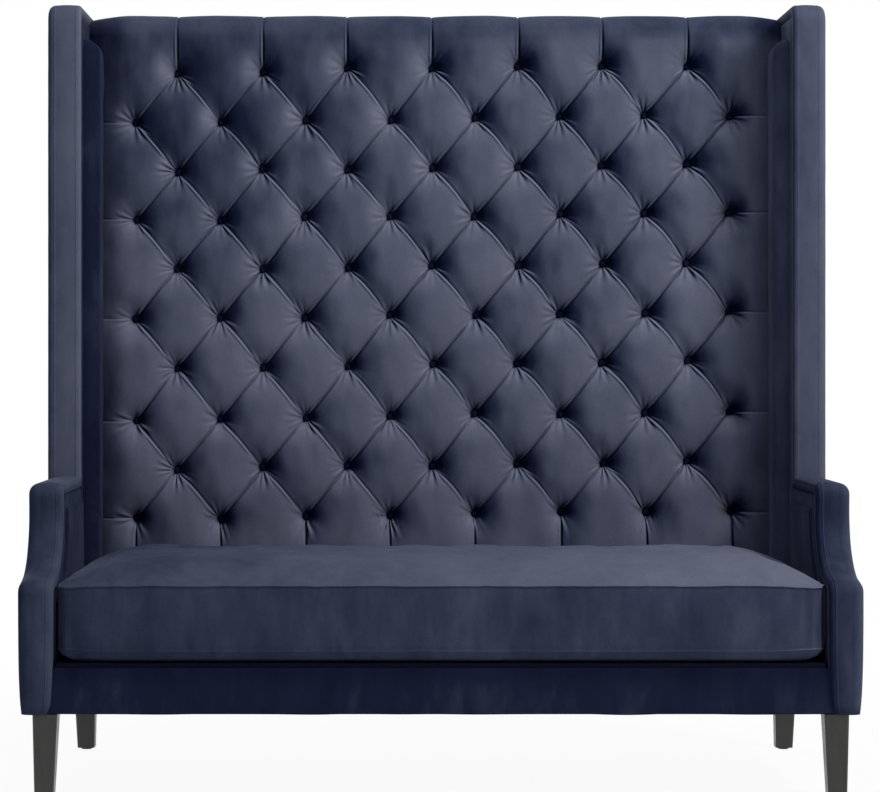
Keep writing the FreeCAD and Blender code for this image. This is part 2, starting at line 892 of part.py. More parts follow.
def cushion_form(inset):
    """Closed form of the cushion, drawn in on every side by an inset."""
    found = cushion_stations(inset)
    y_front = found[0][0]
    y_rear = found[-1][0]
    seam = cushion_seam_height - inset
    crown = cushion_crown_height - inset
    foot_seam = cushion_foot_seam_height + inset
    base = cushion_base + inset
    rings = []
    for y, half in found:
        from_end = min(y - y_front, y_rear - y)
        top_share = soft_rise(from_end, crown_reach)
        foot_share = soft_rise(from_end, foot_reach)
        top = []
        foot = []
        for share in cushion_steps:
            rise = (crown - seam) * top_share * soft_rise(share, 1.0)
            drop = (foot_seam - base) * foot_share * soft_rise(share * crown_reach, foot_reach)
            top.append((half - crown_reach * share, seam + rise))
            foot.append((half - crown_reach * share, foot_seam - drop))
        right = foot[::-1] + top
        ring = [vec(x, y, z) for x, z in right] + [vec(-x, y, z) for x, z in right[::-1]]
        rings.append(ring)
    return ring_solid(rings)


def build_cushion():
    outer = cushion_form(0.0)
    save("seat_cushion_cover", outer.cut(cushion_form(cover_thickness)))
    save("seat_cushion_core", cushion_form(cover_thickness + body_clearance))
    rear_row, half_rear = cushion_stations(0.0)[-1]
    half_zip = half_rear - zip_margin
    middle = (cushion_seam_height + cushion_foot_seam_height) / 2
    zip_strip = block(
        -half_zip, half_zip, rear_row, rear_row + zip_thickness,
        middle - zip_width / 2, middle + zip_width / 2,
    )
    save("cushion_zip", zip_strip)


# Legs, fixings and dust cover

def leg_places():
    """Outer corner and size of the front and rear leg on the +X side, at the frame."""
    outer = half_width - leg_side_inset
    front_leg = (outer - leg_top, outer, front + leg_front_inset, front + leg_front_inset + leg_top)
    rear_face = rear_plane(leg_height) - leg_rear_inset
    rear_leg = (outer - leg_top, outer, rear_face - leg_top, rear_face)
    return {"front": front_leg, "rear": rear_leg}


def leg_centre(place):
    x0, x1, y0, y1 = place
    return (x0 + x1) / 2, (y0 + y1) / 2


def bolt_hole(centre):
    """Blind hole up into the frame for a leg's bolt."""
    x, y = centre
    length = bolt_in_frame + hole_clearance
    return Part.makeCylinder(bolt_radius + hole_clearance, length, vec(x, y, leg_height))


def build_leg(place, outer_lean, inner_lean):
    """Square tapered leg with its edges taken off, drilled for its bolt."""
    x0, x1, y0, y1 = place
    half_taper = (outer_lean + inner_lean) / 2
    foot = (x0 + inner_lean, x1 - outer_lean, y0 + half_taper, y1 - half_taper)

    def square(corners, z):
        left, right, near, far = corners
        cut = leg_edge_round
        ring = [(left + cut, near), (right - cut, near), (right, near + cut), (right, far - cut)]
        ring += [(right - cut, far), (left + cut, far), (left, far - cut), (left, near + cut)]
        return [vec(x, y, z) for x, y in ring]

    leg = ring_solid([square(foot, glide_height), square(place, leg_height)])
    x, y = leg_centre(place)
    depth_in = bolt_in_leg + hole_clearance
    hole = Part.makeCylinder(bolt_radius + hole_clearance, depth_in, vec(x, y, leg_height - depth_in))
    glide_centre = vec((foot[0] + foot[1]) / 2, (foot[2] + foot[3]) / 2, 0)
    return leg.cut(hole), glide_centre


def build_legs(places):
    bolts = []
    glides = []
    for end, place in places.items():
        inside_lean = leg_top - leg_foot - leg_outside_lean
        leans = (leg_outside_lean, inside_lean) if end == "front" else (inside_lean, leg_outside_lean)
        leg, glide_centre = build_leg(place, *leans)
        save_pair("leg_" + end, leg)
        x, y = leg_centre(place)
        bolt_length = bolt_in_leg + bolt_in_frame
        bolt = Part.makeCylinder(bolt_radius, bolt_length, vec(x, y, leg_height - bolt_in_leg))
        glide = Part.makeCylinder(glide_radius, glide_height, glide_centre)
        bolts += [bolt, mirrored(bolt)]
        glides += [glide, mirrored(glide)]
    save("leg_bolts", group(bolts))
    save("leg_glides", group(glides))


def build_dust_cover(places):
    """Thin cloth under the seat box, with a corner let out round each leg."""
    bottom = leg_height - dust_cover_thickness
    half = half_width - dust_cover_margin
    cloth = block(-half, half, border_back, rear_plane(leg_height, frame_back), bottom, leg_height)
    gap = dust_cover_leg_gap
    for x0, x1, y0, y1 in places.values():
        notch = block(x0 - gap, x1 + gap, y0 - gap, y1 + gap, bottom, leg_height)
        cloth = cloth.cut(notch).cut(mirrored(notch))
    save("dust_cover", cloth)


def main():
    os.makedirs("parts", exist_ok=True)
    places = leg_places()
    centres = {end: leg_centre(place) for end, place in places.items()}
    build_sides()
    build_seat_box(centres)
    build_back_frame(centres)
    build_tufted_back()
    build_buttons()
    build_cushion()
    build_legs(places)
    build_dust_cover(places)


main()
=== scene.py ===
import json
import math

import bmesh
import bpy
import numpy as np
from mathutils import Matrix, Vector, geometry


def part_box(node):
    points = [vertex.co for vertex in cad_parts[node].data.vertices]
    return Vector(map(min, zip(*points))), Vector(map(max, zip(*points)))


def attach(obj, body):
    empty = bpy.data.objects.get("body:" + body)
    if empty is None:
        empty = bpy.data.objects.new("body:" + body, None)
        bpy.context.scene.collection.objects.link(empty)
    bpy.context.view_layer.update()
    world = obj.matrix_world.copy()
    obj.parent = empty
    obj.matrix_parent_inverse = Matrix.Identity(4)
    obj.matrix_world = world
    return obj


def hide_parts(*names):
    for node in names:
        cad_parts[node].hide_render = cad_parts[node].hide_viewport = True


# High back settee in dark velvet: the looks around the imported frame. Metres.

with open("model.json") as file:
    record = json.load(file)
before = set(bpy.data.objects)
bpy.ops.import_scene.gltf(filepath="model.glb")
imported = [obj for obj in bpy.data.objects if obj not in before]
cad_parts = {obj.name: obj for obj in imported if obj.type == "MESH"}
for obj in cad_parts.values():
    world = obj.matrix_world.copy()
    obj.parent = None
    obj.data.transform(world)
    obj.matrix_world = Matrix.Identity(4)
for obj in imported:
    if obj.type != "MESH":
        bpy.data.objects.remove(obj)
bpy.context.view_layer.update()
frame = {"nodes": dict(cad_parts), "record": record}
scene = bpy.context.scene

LOW, HIGH = 0, 1
X, Y, Z = 0, 1, 2


def reach(node, end, axis):
    """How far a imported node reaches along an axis, to a hundredth of a millimetre."""
    return round(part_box(node)[end][axis], 5)


# Sizes of the settee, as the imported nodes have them
half_width = reach("wing_facing_right", HIGH, X)
front = reach("arm_facing_right", LOW, Y)
rear = reach("wing_facing_right", HIGH, Y)
height = reach("wing_facing_right", HIGH, Z)
leg_height = reach("leg_front_right", HIGH, Z)
slab_inner = reach("arm_facing_right", LOW, X)
panel_inner = reach("outside_arm_panel_right", LOW, X)
board_inner = reach("arm_pad_right", HIGH, X)
arm_height = reach("arm_facing_right", HIGH, Z)
wing_front = reach("wing_facing_right", LOW, Y)
rail_top = reach("arm_pad_right", LOW, Z)
border_top = reach("front_border", HIGH, Z)
border_front = reach("front_border", LOW, Y)
deck_top = reach("seat_deck", HIGH, Z)
half_back = reach("tufted_back", HIGH, X)
wing_pad_inner = reach("wing_pad_right", LOW, X)
lean = 0.028 / (height - leg_height)
facing_depth = 0.024
crown_layer = 0.1425
foam_layer = 0.0815
frame_layer = 0.040
back_panel_layer = 0.008
body_gap = 0.0003
seam_gap = 0.0001
arm_field_inner = slab_inner - 0.0055
arm_field_border = 0.030
wing_pad_front = 0.130
wing_pad_top = 1.592

# Outlines of the facings from the side: each corner's y, z and rounding
arm_corners = [
    (front, 0.439, 0.030),
    (front + 0.170, 0.472, 0.120),
    (front + 0.158, arm_height, 0.028),
]
wing_corners = [(wing_front, height, 0.040)]


def arm_line(foot, end):
    """Corners of the arm's outline, from its foot over the scoop and nose to its end."""
    return [(front, foot, 0)] + arm_corners + [(end, arm_height, 0)]


def wing_line(foot, end):
    return [(wing_front, foot, 0)] + wing_corners + [(end, height, 0)]


# Buttoning
row_count = 10
short_row = 7
button_pitch = 2 * 0.6673 / 7
top_row = height - 0.1315
row_pitch = (top_row - 0.524) / (row_count - 1)
row_tilt = 0.015
top_row_arc = 0.010
lower_rows_lift = 0.011
rows_shift = -0.007
foot_z = deck_top
roll_height = 0.055
roll_reach = 0.062
roll_start = height - roll_height

# Each kind of pleat: depth, its fold's height and side, its crease's depth, and where it fades
falling_pleat = (0.006, 0.0019, -1, 0.0010, 0.86)
rising_pleat = (0.010, 0.0016, 1, 0.0050, 1.10)
top_pleat = (0.006, 0.0020, 1, 0.0040, 1.10)
foot_pleat = (0.009, 0.0014, 1, 0.0040, 1.10)
side_pleat = (0.005, 0.0005, -1, 0.0012, 0.95)
valley_width_under_fold = 0.020
valley_width = 0.034
fold_place, fold_width = 0.0032, 0.0022
crease_width = 0.0026
bow_width = 0.03

# A pit is a wide cone with a narrow throat, each with its depth and width; the button sits in it
cone_depth, cone_width = 0.021, 0.036
throat_depth, throat_width = 0.014, 0.0125
button_depth = 0.0395
button_radius = 0.0092
side_fall, side_fall_start = 0.025, 0.68

# Loose cushion
cushion_front = -0.376
cushion_base = deck_top + body_gap
seam_foot = 0.300
seam_top = 0.430
crown_top = 0.480

# Lie of the pile, with painted light and shade in it: 0 leans away from the room and is darkest, 1 stands up
# to it and is palest.
# A level, then how much more it is where the surface faces right, then where it faces up: these two are
# painted light, as if lit from the upper right. The levels of the arms' fronts, the inner sides, the border
# and the buttons are partly painted shade, set darker as these lie in shade. Pairs are right and left.
back_lie = 0.70
button_lie = (0.08,)
wing_lies = ((0.57, 0.20), (0.60, 0.26))
arm_lies = ((0.36, 0.22, 0.05), (0.41, 0.12, 0.05))
inner_wing_lies = ((0.40,), (0.23,))
inner_arm_lies = ((0.22,), (0.26,))
outside_lies = ((0.56,), (0.56,))
border_lie = 0.25
cushion_lie = 0.40

# Tone of the velvet at each value of its lie and painted shade: the dark end is painted shade, the pale end
# painted light
pile_and_shade_tones = [
    (0.00, (0.0014, 0.0026, 0.0120)),
    (0.25, (0.0096, 0.0134, 0.0350)),
    (0.42, (0.0345, 0.0422, 0.0745)),
    (0.60, (0.0704, 0.0802, 0.1221)),
    (1.00, (0.1400, 0.1520, 0.2050)),
]


def rear_plane(z, layer=0.0):
    """Place of the leaning back's rear face at a height, or of a layer in front of it."""
    return rear - (height - z) * lean - layer


cushion_rear = rear_plane(cushion_base, crown_layer) - 0.0035
cushion_half = slab_inner - 0.007
cushion_half_rear = wing_pad_inner - 0.004


def soft(t):
    """Smooth step from 0 to 1."""
    t = np.clip(t, 0.0, 1.0)
    return t * t * (3 - 2 * t)


def arch(t):
    """Quarter round from 0 to 1: steep at first, then level."""
    t = np.clip(t, 0.0, 1.0)
    return np.sqrt(1 - (1 - t) ** 2)


def lumps(points, wavelength, seed, waves=14):
    """Seeded smooth unevenness of about unit size at each point."""
    rng = np.random.default_rng(seed)
    directions = rng.normal(size=(waves, points.shape[1]))
    directions /= np.linalg.norm(directions, axis=1)[:, None]
    lengths = wavelength * rng.uniform(0.7, 1.6, waves)
    phases = rng.uniform(0, 2 * math.pi, waves)
    angle = points @ (directions / lengths[:, None]).T * (2 * math.pi) + phases
    return np.sin(angle).sum(1) / math.sqrt(waves / 2)


def quarter(steps):
    """Sine and cosine at even steps over a quarter turn."""
    return [(math.sin(a), math.cos(a)) for a in (math.pi / 2 * k / steps for k in range(steps + 1))]


# Materials

def feed(tree, node, inputs):
    """Set a node's inputs, each from a value or from another node's output."""
    for name, value in inputs.items():
        if isinstance(value, bpy.types.NodeSocket):
            tree.links.new(value, node.inputs[name])
        else:
            node.inputs[name].default_value = value


def shader_node(tree, kind, inputs=None, **settings):
    node = tree.nodes.new("ShaderNode" + kind)
    for name, value in settings.items():
        setattr(node, name, value)
    feed(tree, node, inputs or {})
    return node


def maths(tree, operation, *values):
    node = shader_node(tree, "Math", dict(enumerate(values)), operation=operation)
    return node.outputs["Value"]


def node_material(name):
    """New material, its tree and its surface shader."""
    material = bpy.data.materials.new(name)
    material.use_nodes = True
    return material, material.node_tree, material.node_tree.nodes["Principled BSDF"]


def noise(tree, scale, detail, stretch=(1, 1, 1), roughness=0.5):
    place = shader_node(tree, "TexCoord").outputs["Object"]
    mapping = shader_node(tree, "Mapping", {"Scale": stretch, "Vector": place})
    inputs = {"Scale": scale, "Detail": detail, "Roughness": roughness, "Vector": mapping.outputs["Vector"]}
    return shader_node(tree, "TexNoise", inputs).outputs["Fac"]


def ramp(tree, source, stops):
    node = shader_node(tree, "ValToRGB", {"Fac": source})
    elements = node.color_ramp.elements
    while len(elements) < len(stops):
        elements.new(0.5)
    for element, (place, colour) in zip(elements, stops):
        element.position = place
        element.color = (*colour, 1)
    return node.outputs["Color"]


def grey_ramp(tree, source, low, high):
    return ramp(tree, source, [(0.3, (low,) * 3), (0.7, (high,) * 3)])


def mixed(tree, kind, a, b, factor):
    node = shader_node(tree, "Mix", {"Factor": factor, "A": a, "B": b}, data_type="RGBA", blend_type=kind)
    return node.outputs["Result"]


def bumped(tree, shader, source, strength, distance, before=None):
    inputs = {"Strength": strength, "Distance": distance, "Height": source}
    if before:
        inputs["Normal"] = before
    normal = shader_node(tree, "Bump", inputs).outputs["Normal"]
    tree.links.new(normal, shader.inputs["Normal"])
    return normal


def velvet(name):
    """Short dense pile, whose tone follows its lie and the light and shade painted into it: near black where
    it leans away and where shade is painted, grey blue where it stands up and where light is painted.

    The values come from the piece's own lie attribute, with hand marks and brush strokes around them.
    """
    material, tree, shader = node_material(name)
    lie = shader_node(tree, "Attribute", attribute_name="lie").outputs["Fac"]
    hand_marks = noise(tree, 6.5, 3, (1, 1, 0.55), 0.55)
    strokes = noise(tree, 38, 3, (1, 1, 0.35), 0.6)
    for marks, share in ((hand_marks, 0.36), (strokes, 0.18)):
        centred = maths(tree, "SUBTRACT", marks, 0.5)
        lie = maths(tree, "MULTIPLY_ADD", centred, share, lie)
    nap = ramp(tree, lie, pile_and_shade_tones)
    grain = grey_ramp(tree, noise(tree, 900, 2), 0.80, 1.20)
    feed(tree, shader, {
        "Base Color": mixed(tree, "MULTIPLY", nap, grain, 1.0),
        "Roughness": grey_ramp(tree, noise(tree, 18, 2), 0.72, 0.86),
        "Specular IOR Level": 0.03,
        "Sheen Weight": 0.12,
        "Sheen Roughness": 0.30,
        "Sheen Tint": (0.55, 0.62, 0.90, 1),
    })
    first = bumped(tree, shader, noise(tree, 60, 4, (1, 1, 0.6), 0.6), 0.20, 0.002)
    bumped(tree, shader, noise(tree, 1400, 2), 0.35, 0.0006, first)
    return material


def wood(name, pale, dark, low, high):
    """Long grain, between two roughnesses."""
    material, tree, shader = node_material(name)
    grain = noise(tree, 14, 6, (6, 6, 0.6), 0.65)
    feed(tree, shader, {
        "Base Color": ramp(tree, grain, [(0.35, dark), (0.65, pale)]),
        "Roughness": grey_ramp(tree, noise(tree, 30, 3), low, high),
    })
    bumped(tree, shader, grain, 0.15, 0.001)
    return material


def plain(name, pale, dark, roughness, scale, metallic=0.0, depth=0.2, gloss=0.5):
    """Finely speckled surface."""
    material, tree, shader = node_material(name)
    speckle = noise(tree, scale, 3)
    feed(tree, shader, {
        "Base Color": ramp(tree, speckle, [(0.3, dark), (0.7, pale)]),
        "Roughness": roughness,
        "Metallic": metallic,
        "Specular IOR Level": gloss,
    })
    bumped(tree, shader, speckle, depth, 0.0005)
    return material


def woven(name, pale, dark, threads):
    """Plain weave: two crossing bands of threads."""
    material, tree, shader = node_material(name)
    place = shader_node(tree, "TexCoord").outputs["Object"]
    bands = []
    for direction in ("X", "Y"):
        wave = shader_node(tree, "TexWave", {"Scale": threads, "Vector": place}, bands_direction=direction)
        bands.append(wave.outputs["Color"])
    cross = mixed(tree, "MULTIPLY", *bands, 0.8)
    feed(tree, shader, {
        "Base Color": ramp(tree, cross, [(0.1, dark), (0.8, pale)]),
        "Roughness": 0.9,
        "Specular IOR Level": 0.05,
    })
    bumped(tree, shader, cross, 0.4, 0.0006)
    return material


slot_materials = {
    "velvet": velvet("velvet_pile"),
    # The deck cloth is near black: painted shade, the tone of the shade under the cushion's front
    "deck_cloth": woven("deck_cloth", (0.006, 0.008, 0.020), (0.002, 0.003, 0.009), 420),
    "dust_cloth": plain("dust_cloth", (0.014, 0.014, 0.015), (0.005, 0.005, 0.006), 0.95, 700, 0, 0.5, 0.05),
    "leg_wood": wood("leg_black", (0.020, 0.0185, 0.017), (0.011, 0.010, 0.0095), 0.30, 0.42),
    "frame_wood": wood("frame_wood", (0.56, 0.38, 0.20), (0.36, 0.22, 0.10), 0.55, 0.75),
    "steel": plain("steel", (0.62, 0.62, 0.64), (0.45, 0.45, 0.47), 0.35, 260, 1.0, 0.1),
    "glide_plastic": plain("glide_plastic", (0.022,) * 3, (0.012,) * 3, 0.6, 400),
    "zip_plastic": plain("zip_plastic", (0.020, 0.025, 0.050), (0.008, 0.010, 0.022), 0.5, 500),
    "webbing": woven("webbing", (0.50, 0.46, 0.38), (0.22, 0.19, 0.14), 180),
    "foam": plain("foam", (0.80, 0.74, 0.52), (0.58, 0.52, 0.34), 0.95, 900, 0.0, 0.6),
}


def dress_nodes():
    """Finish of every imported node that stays."""
    slots = {row["node"]: row["material_slot"] for row in frame["record"]["subparts"]}
    for name, piece in frame["nodes"].items():
        piece.data.materials.clear()
        piece.data.materials.append(slot_materials[slots[name]])


# Mesh making

def lay_pile_and_shade(piece, lie, across=0.0, up=0.0, extra=None):
    """Give each point its lie of pile with painted light and shade: a level, more where the surface faces
    right or up, which is painted light, and any extra.
    """
    mesh = piece.data
    normals, places = np.empty((2, len(mesh.vertices) * 3))
    mesh.vertices.foreach_get("normal", normals)
    mesh.vertices.foreach_get("co", places)
    normals, places = normals.reshape(-1, 3), places.reshape(-1, 3)
    values = lie + across * normals[:, 0] + up * normals[:, 2]
    if extra:
        values = values + extra(places, normals)
    layer = mesh.attributes.get("lie") or mesh.attributes.new("lie", "FLOAT", "POINT")
    layer.data.foreach_set("value", np.clip(values, 0.0, 1.0).astype(np.float32))


def linked(name, data):
    """New object in the scene."""
    holder = bpy.data.objects.new(name, data)
    scene.collection.objects.link(holder)
    return holder


def reshape(mesh, change):
    """Change a mesh through bmesh, then turn its faces outwards and smooth them."""
    shell = bmesh.new()
    shell.from_mesh(mesh)
    change(shell)
    bmesh.ops.recalc_face_normals(shell, faces=shell.faces)
    shell.to_mesh(mesh)
    shell.free()
    mesh.polygons.foreach_set("use_smooth", [True] * len(mesh.polygons))


def merge_doubles(shell):
    bmesh.ops.remove_doubles(shell, verts=shell.verts, dist=0.00002)


def new_piece(name, points, faces, nodes, lie=None, slot="velvet", body="settee"):
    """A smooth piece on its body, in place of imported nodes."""
    mesh = bpy.data.meshes.new(name)
    mesh.from_pydata([tuple(p) for p in np.asarray(points, float)], [], [tuple(f) for f in faces])
    piece = linked(name, mesh)
    reshape(mesh, merge_doubles)
    mesh.materials.append(slot_materials[slot])
    if lie:
        lay_pile_and_shade(piece, *lie)
    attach(piece, body)
    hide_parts(*nodes)
    return piece


def save_pair(name, points, faces, node, lies):
    """The same form on both sides; points(sign) gives each its own seeded unevenness, as if on the right."""
    for sign, side, lie in ((1, "right", lies[0]), (-1, "left", lies[1])):
        here = points(sign) * (sign, 1, 1)
        new_piece(name + "_velvet_" + side, here, faces, [node + "_" + side], lie)


def grid_faces(rows, columns, wrap=False, start=0):
    """Quads of a grid of points listed row by row; wrap joins the last column to the first."""
    faces = []
    for i in range(rows - 1):
        for j in range(columns if wrap else columns - 1):
            k = (j + 1) % columns
            a, b = start + i * columns + j, start + i * columns + k
            faces.append((a, b, b + columns, a + columns))
    return faces


def skirt_faces(rim, below):
    """Quads from a closed rim of points down to the same number of points that follow from below."""
    count = len(rim)
    return [(rim[i], rim[(i + 1) % count], below + (i + 1) % count, below + i) for i in range(count)]


def rounded_line(corners, step=0.12):
    """Points and inward normals along an open (y, z, radius) outline, close set round its bends."""
    points = [np.array(c[:2], float) for c in corners]
    line = []
    for i, point in enumerate(points):
        radius = corners[i][2]
        if i in (0, len(points) - 1) or not radius:
            other = points[1] - points[0] if i == 0 else points[i] - points[i - 1]
            heading = other / np.linalg.norm(other)
            line.append((point, np.array([heading[1], -heading[0]])))
            continue
        before = points[i] - points[i - 1]
        after = points[i + 1] - points[i]
        first, last = math.atan2(before[1], before[0]), math.atan2(after[1], after[0])
        turn = last - first
        setback = abs(radius * math.tan(turn / 2))
        side = math.copysign(1.0, turn)
        start = point - before / np.linalg.norm(before) * setback
        centre = start + side * radius * np.array([-math.sin(first), math.cos(first)])
        steps = max(3, math.ceil(abs(turn) / step))
        for k in range(steps + 1):
            angle = first + turn * k / steps
            normal = np.array([math.sin(angle), -math.cos(angle)])
            line.append((centre + side * radius * normal, normal))
    return line


def filled_line(corners, spacing):
    """A rounded line with its straight runs divided."""
    line = rounded_line(corners)
    found = [line[0]]
    for (a, na), (b, nb) in zip(line, line[1:]):
        count = max(1, math.ceil(np.linalg.norm(b - a) / spacing))
        for k in range(1, count + 1):
            t = k / count
            normal = na * (1 - t) + nb * t
            found.append((a * (1 - t) + b * t, normal / np.linalg.norm(normal)))
    return found


# Buttoned back

def warped(count):
    """Places from 0 to 1, close set at both ends."""
    s = np.linspace(0, 1, count + 1)
    return s - 0.7 * np.sin(2 * math.pi * s) / (2 * math.pi)


def pit_rows():
    """Places of the pits: hand-set, so a little out of level and a little uneven."""
    rng = np.random.default_rng(11)
    rows = []
    for row in range(row_count):
        count = short_row + row % 2
        level = top_row - row * row_pitch + lower_rows_lift * soft((row + 0.5) / 4)
        places = []
        for i in range(count):
            x = button_pitch * (i - (count - 1) / 2)
            z = level + row_tilt * x + top_row_arc * (1 - (x / half_back) ** 2) * math.exp(-row)
            places.append((x + rng.uniform(-0.002, 0.002) + rows_shift, z + rng.uniform(-0.003, 0.003)))
        rows.append(places)
    return rows


rows = pit_rows()
pits = np.array([pit for row in rows for pit in row])


def pleat_lines():
    """Each pleat: its two ends in (x, z), its bow, and what its kind has."""
    rng = np.random.default_rng(7)
    lines = []
    for upper, lower in zip(rows, rows[1:]):
        for x0, z0 in upper:
            for x1, z1 in lower:
                if abs(x1 - x0) > button_pitch * 0.6:
                    continue
                if x1 > x0:
                    bow = rng.uniform(0.001, 0.004) + 0.0035 * soft((x0 + 0.3) / 0.5)
                    lines.append((x0, z0, x1, z1, bow, *falling_pleat))
                else:
                    lines.append((x0, z0, x1, z1, rng.uniform(-0.001, 0.0015), *rising_pleat))
    for x, z in rows[0]:
        lines.append((x, z, x + rng.uniform(-0.002, 0.003), height + 0.2, 0.0, *top_pleat))
    for x, z in rows[-1]:
        lines.append((x, z, x + rng.uniform(-0.003, 0.003), foot_z - 0.1, 0.0, *foot_pleat))
    for row in rows[1::2]:
        for x, z in (row[0], row[-1]):
            outer = math.copysign(half_back + 0.05, x)
            lines.append((x, z, outer, z + rng.uniform(-0.004, 0.004), 0.0, *side_pleat))
    return np.array(lines)


pleats = pleat_lines()


def along_pleats(place):
    """For each place and pleat: share along it, distance to it, signed distance off it and its normal."""
    a, b = pleats[:, 0:2], pleats[:, 2:4]
    run = b - a
    length = np.linalg.norm(run, axis=1)
    unit = run / length[:, None]
    normal = np.stack([-unit[:, 1], unit[:, 0]], axis=1)
    upright = np.abs(unit[:, 0]) < 0.2
    wrong = np.where(upright, normal[:, 0] > 0, normal[:, 1] < 0)
    normal[wrong] *= -1
    off = place[:, None, :] - a[None]
    share = np.clip((off * unit).sum(2) / length, 0, 1)
    nearest = a[None] + share[..., None] * run[None]
    distance = np.linalg.norm(place[:, None, :] - nearest, axis=2)
    signed = (off * normal).sum(2)
    return share, distance, signed, normal


def pleated(place):
    """Where the pleats' bows carry each place, and how deep their valleys, folds and creases are there."""
    bows, depths, fold_heights, fold_sides, creases, fades = pleats[:, 4:].T
    share, distance, signed, normal = along_pleats(place)
    bow = bows * np.sin(math.pi * share ** 0.8) ** 2 * np.exp(-(distance / bow_width) ** 2)
    moved = place + (bow[..., None] * normal[None]).sum(1)
    on_fold = signed * fold_sides > 0
    width = np.where(on_fold, valley_width_under_fold, valley_width)
    valley = depths * np.exp(-(distance / width) ** 1.15)

    def ends(start, end):
        """From 0 up to 1 over the start of each pleat, and down again before it fades."""
        return soft(share / start) * (1 - soft((share - fades + end) / end))

    fold = fold_heights * np.exp(-((signed * fold_sides - fold_place) / fold_width) ** 2) * ends(0.07, 0.3)
    fold *= distance < 0.02
    crease = creases * np.exp(-(distance / crease_width) ** 2) * ends(0.04, 0.2)
    return moved, (valley ** 4).sum(1) ** 0.25 + (crease - fold).sum(1)


def pulled_in(place, phases, folds, force):
    """Depth of the pits' cones at each place, with the crimps round them."""
    off = place[:, None, :] - pits[None]
    radius = np.linalg.norm(off, axis=2)
    angle = np.arctan2(off[..., 1], off[..., 0])
    cone = cone_depth * np.exp(-(radius / cone_width) ** 1.35)
    cone += throat_depth * np.exp(-(radius / throat_width) ** 2)
    wave = sum(np.cos(folds[:, k] * angle + phases[:, k]) for k in range(4)) / 2
    below = np.clip(-np.sin(angle), 0, 1) ** 2
    beside = np.clip(-np.cos(angle), 0, 1) ** 2
    near = 0.0019 * (0.15 + 1.2 * below + 0.6 * beside) * np.exp(-((radius - 0.016) / 0.007) ** 2)
    far = 0.0018 * (0.10 + 0.7 * below + 0.9 * beside) * np.exp(-((radius - 0.028) / 0.014) ** 2)
    return cone.sum(1) + ((near + far) * force * wave).sum(1)


def buttoned(place):
    """Bowed place and depth behind the crown plane for each (x, z) place on the back."""
    moved = np.zeros_like(place)
    depth = np.zeros(len(place))
    rng = np.random.default_rng(21)
    phases = rng.uniform(0, 2 * math.pi, (len(pits), 4))
    folds = rng.integers(10, 19, (len(pits), 4))
    force = rng.uniform(0.7, 1.35, len(pits))
    batch = 4000
    for start in range(0, len(place), batch):
        some = slice(start, start + batch)
        moved[some], depth[some] = pleated(place[some])
        depth[some] += pulled_in(place[some], phases, folds, force)
    depth += side_fall * side_share(place[:, 0])
    depth += 0.0008 * lumps(place, 0.13, 3) + 0.00015 * lumps(place, 0.045, 4)
    return moved, depth


def side_share(x):
    """From 0 to 1 over the stretch beside each wing, where the back falls away."""
    return np.clip((np.abs(x) - side_fall_start) / (half_back - side_fall_start), 0, 1) ** 2


def back_shade(places, normals):
    """Painted light and shade on the back, over its level.

    Painted shade, with the pile lying away, in the pits and where the surface faces left; painted light
    where it faces right and up, as if lit from the upper right. Darker towards the upper left, with a
    painted highlight at the left of each pit, strongest there.
    """
    x, y, z = places.T
    # Painted shade where the surface faces left, painted light where it faces right and up
    facing = 0.93 * normals[:, 0] + 0.37 * normals[:, 2]
    # Darker towards the upper left
    toward_upper_left = soft((z - 1.00) / 0.45) * soft((0.35 - x) / 0.9)
    lie = np.where(facing < 0, (1.15 - 0.65 * toward_upper_left) * facing, (0.24 + 0.25 * toward_upper_left) * facing)
    lie += 0.45 * np.clip(normals[:, 2] - 0.12, 0, 1) - 0.22 * toward_upper_left
    # Painted highlight at the left of each pit
    pit_highlight = np.zeros(len(places))
    for pit_x, pit_z in pits:
        across, up = (x - pit_x + 0.030) / 0.020, (z - pit_z - 0.012) / 0.030
        pit_highlight = np.maximum(pit_highlight, np.exp(-across ** 2 - up ** 2))
    lie += (0.06 + 0.34 * toward_upper_left) * pit_highlight
    # Darker over the top roll; painted shade beside the wings and in the pits
    on_roll = soft((z - height + 0.075) / 0.045)
    beside = soft((np.abs(x) - half_back + 0.10) / 0.06)
    in_pit = soft((y - rear_plane(z, crown_layer) - 0.029) / 0.008) * (1 - on_roll)
    lie *= (1 - 0.8 * on_roll) * (1 - 0.6 * beside)
    lie -= (0.21 + 0.08 * x / half_back) * on_roll + 0.12 * beside + 0.45 * in_pit
    # Darker towards the ends and higher up
    return lie - 0.03 * np.abs(x) / half_back - 0.06 * soft((z - 0.85) / 0.35)


def net_quads():
    """Corners of every patch of the net, in (x, z)."""
    quads = []
    for above, row, below in zip(rows, rows[1:], rows[2:]):
        for left, right in zip(row, row[1:]):
            middle = (left[0] + right[0]) / 2
            top = min(above, key=lambda pit: abs(pit[0] - middle))
            foot = min(below, key=lambda pit: abs(pit[0] - middle))
            quads.append((top, right, foot, left))
    for x, outer in ((-half_back, 0), (half_back, -1)):
        for i in range(2, row_count - 1, 2):
            above, pit, below = rows[i - 1][outer], rows[i][outer], rows[i + 1][outer]
            quads.append((pit, above, (x, above[1]), (x, pit[1])))
            quads.append((pit, (x, pit[1]), (x, below[1]), below))
    for pair, z, outer in ((rows[:2], roll_start, rows[1]), (rows[-2:], foot_z, rows[-1])):
        line = [(-half_back, outer[0][1])] + sorted(pair[0] + pair[1]) + [(half_back, outer[-1][1])]
        for a, b in zip(line, line[1:]):
            quads.append((a, b, (b[0], z), (a[0], z)))
    return quads


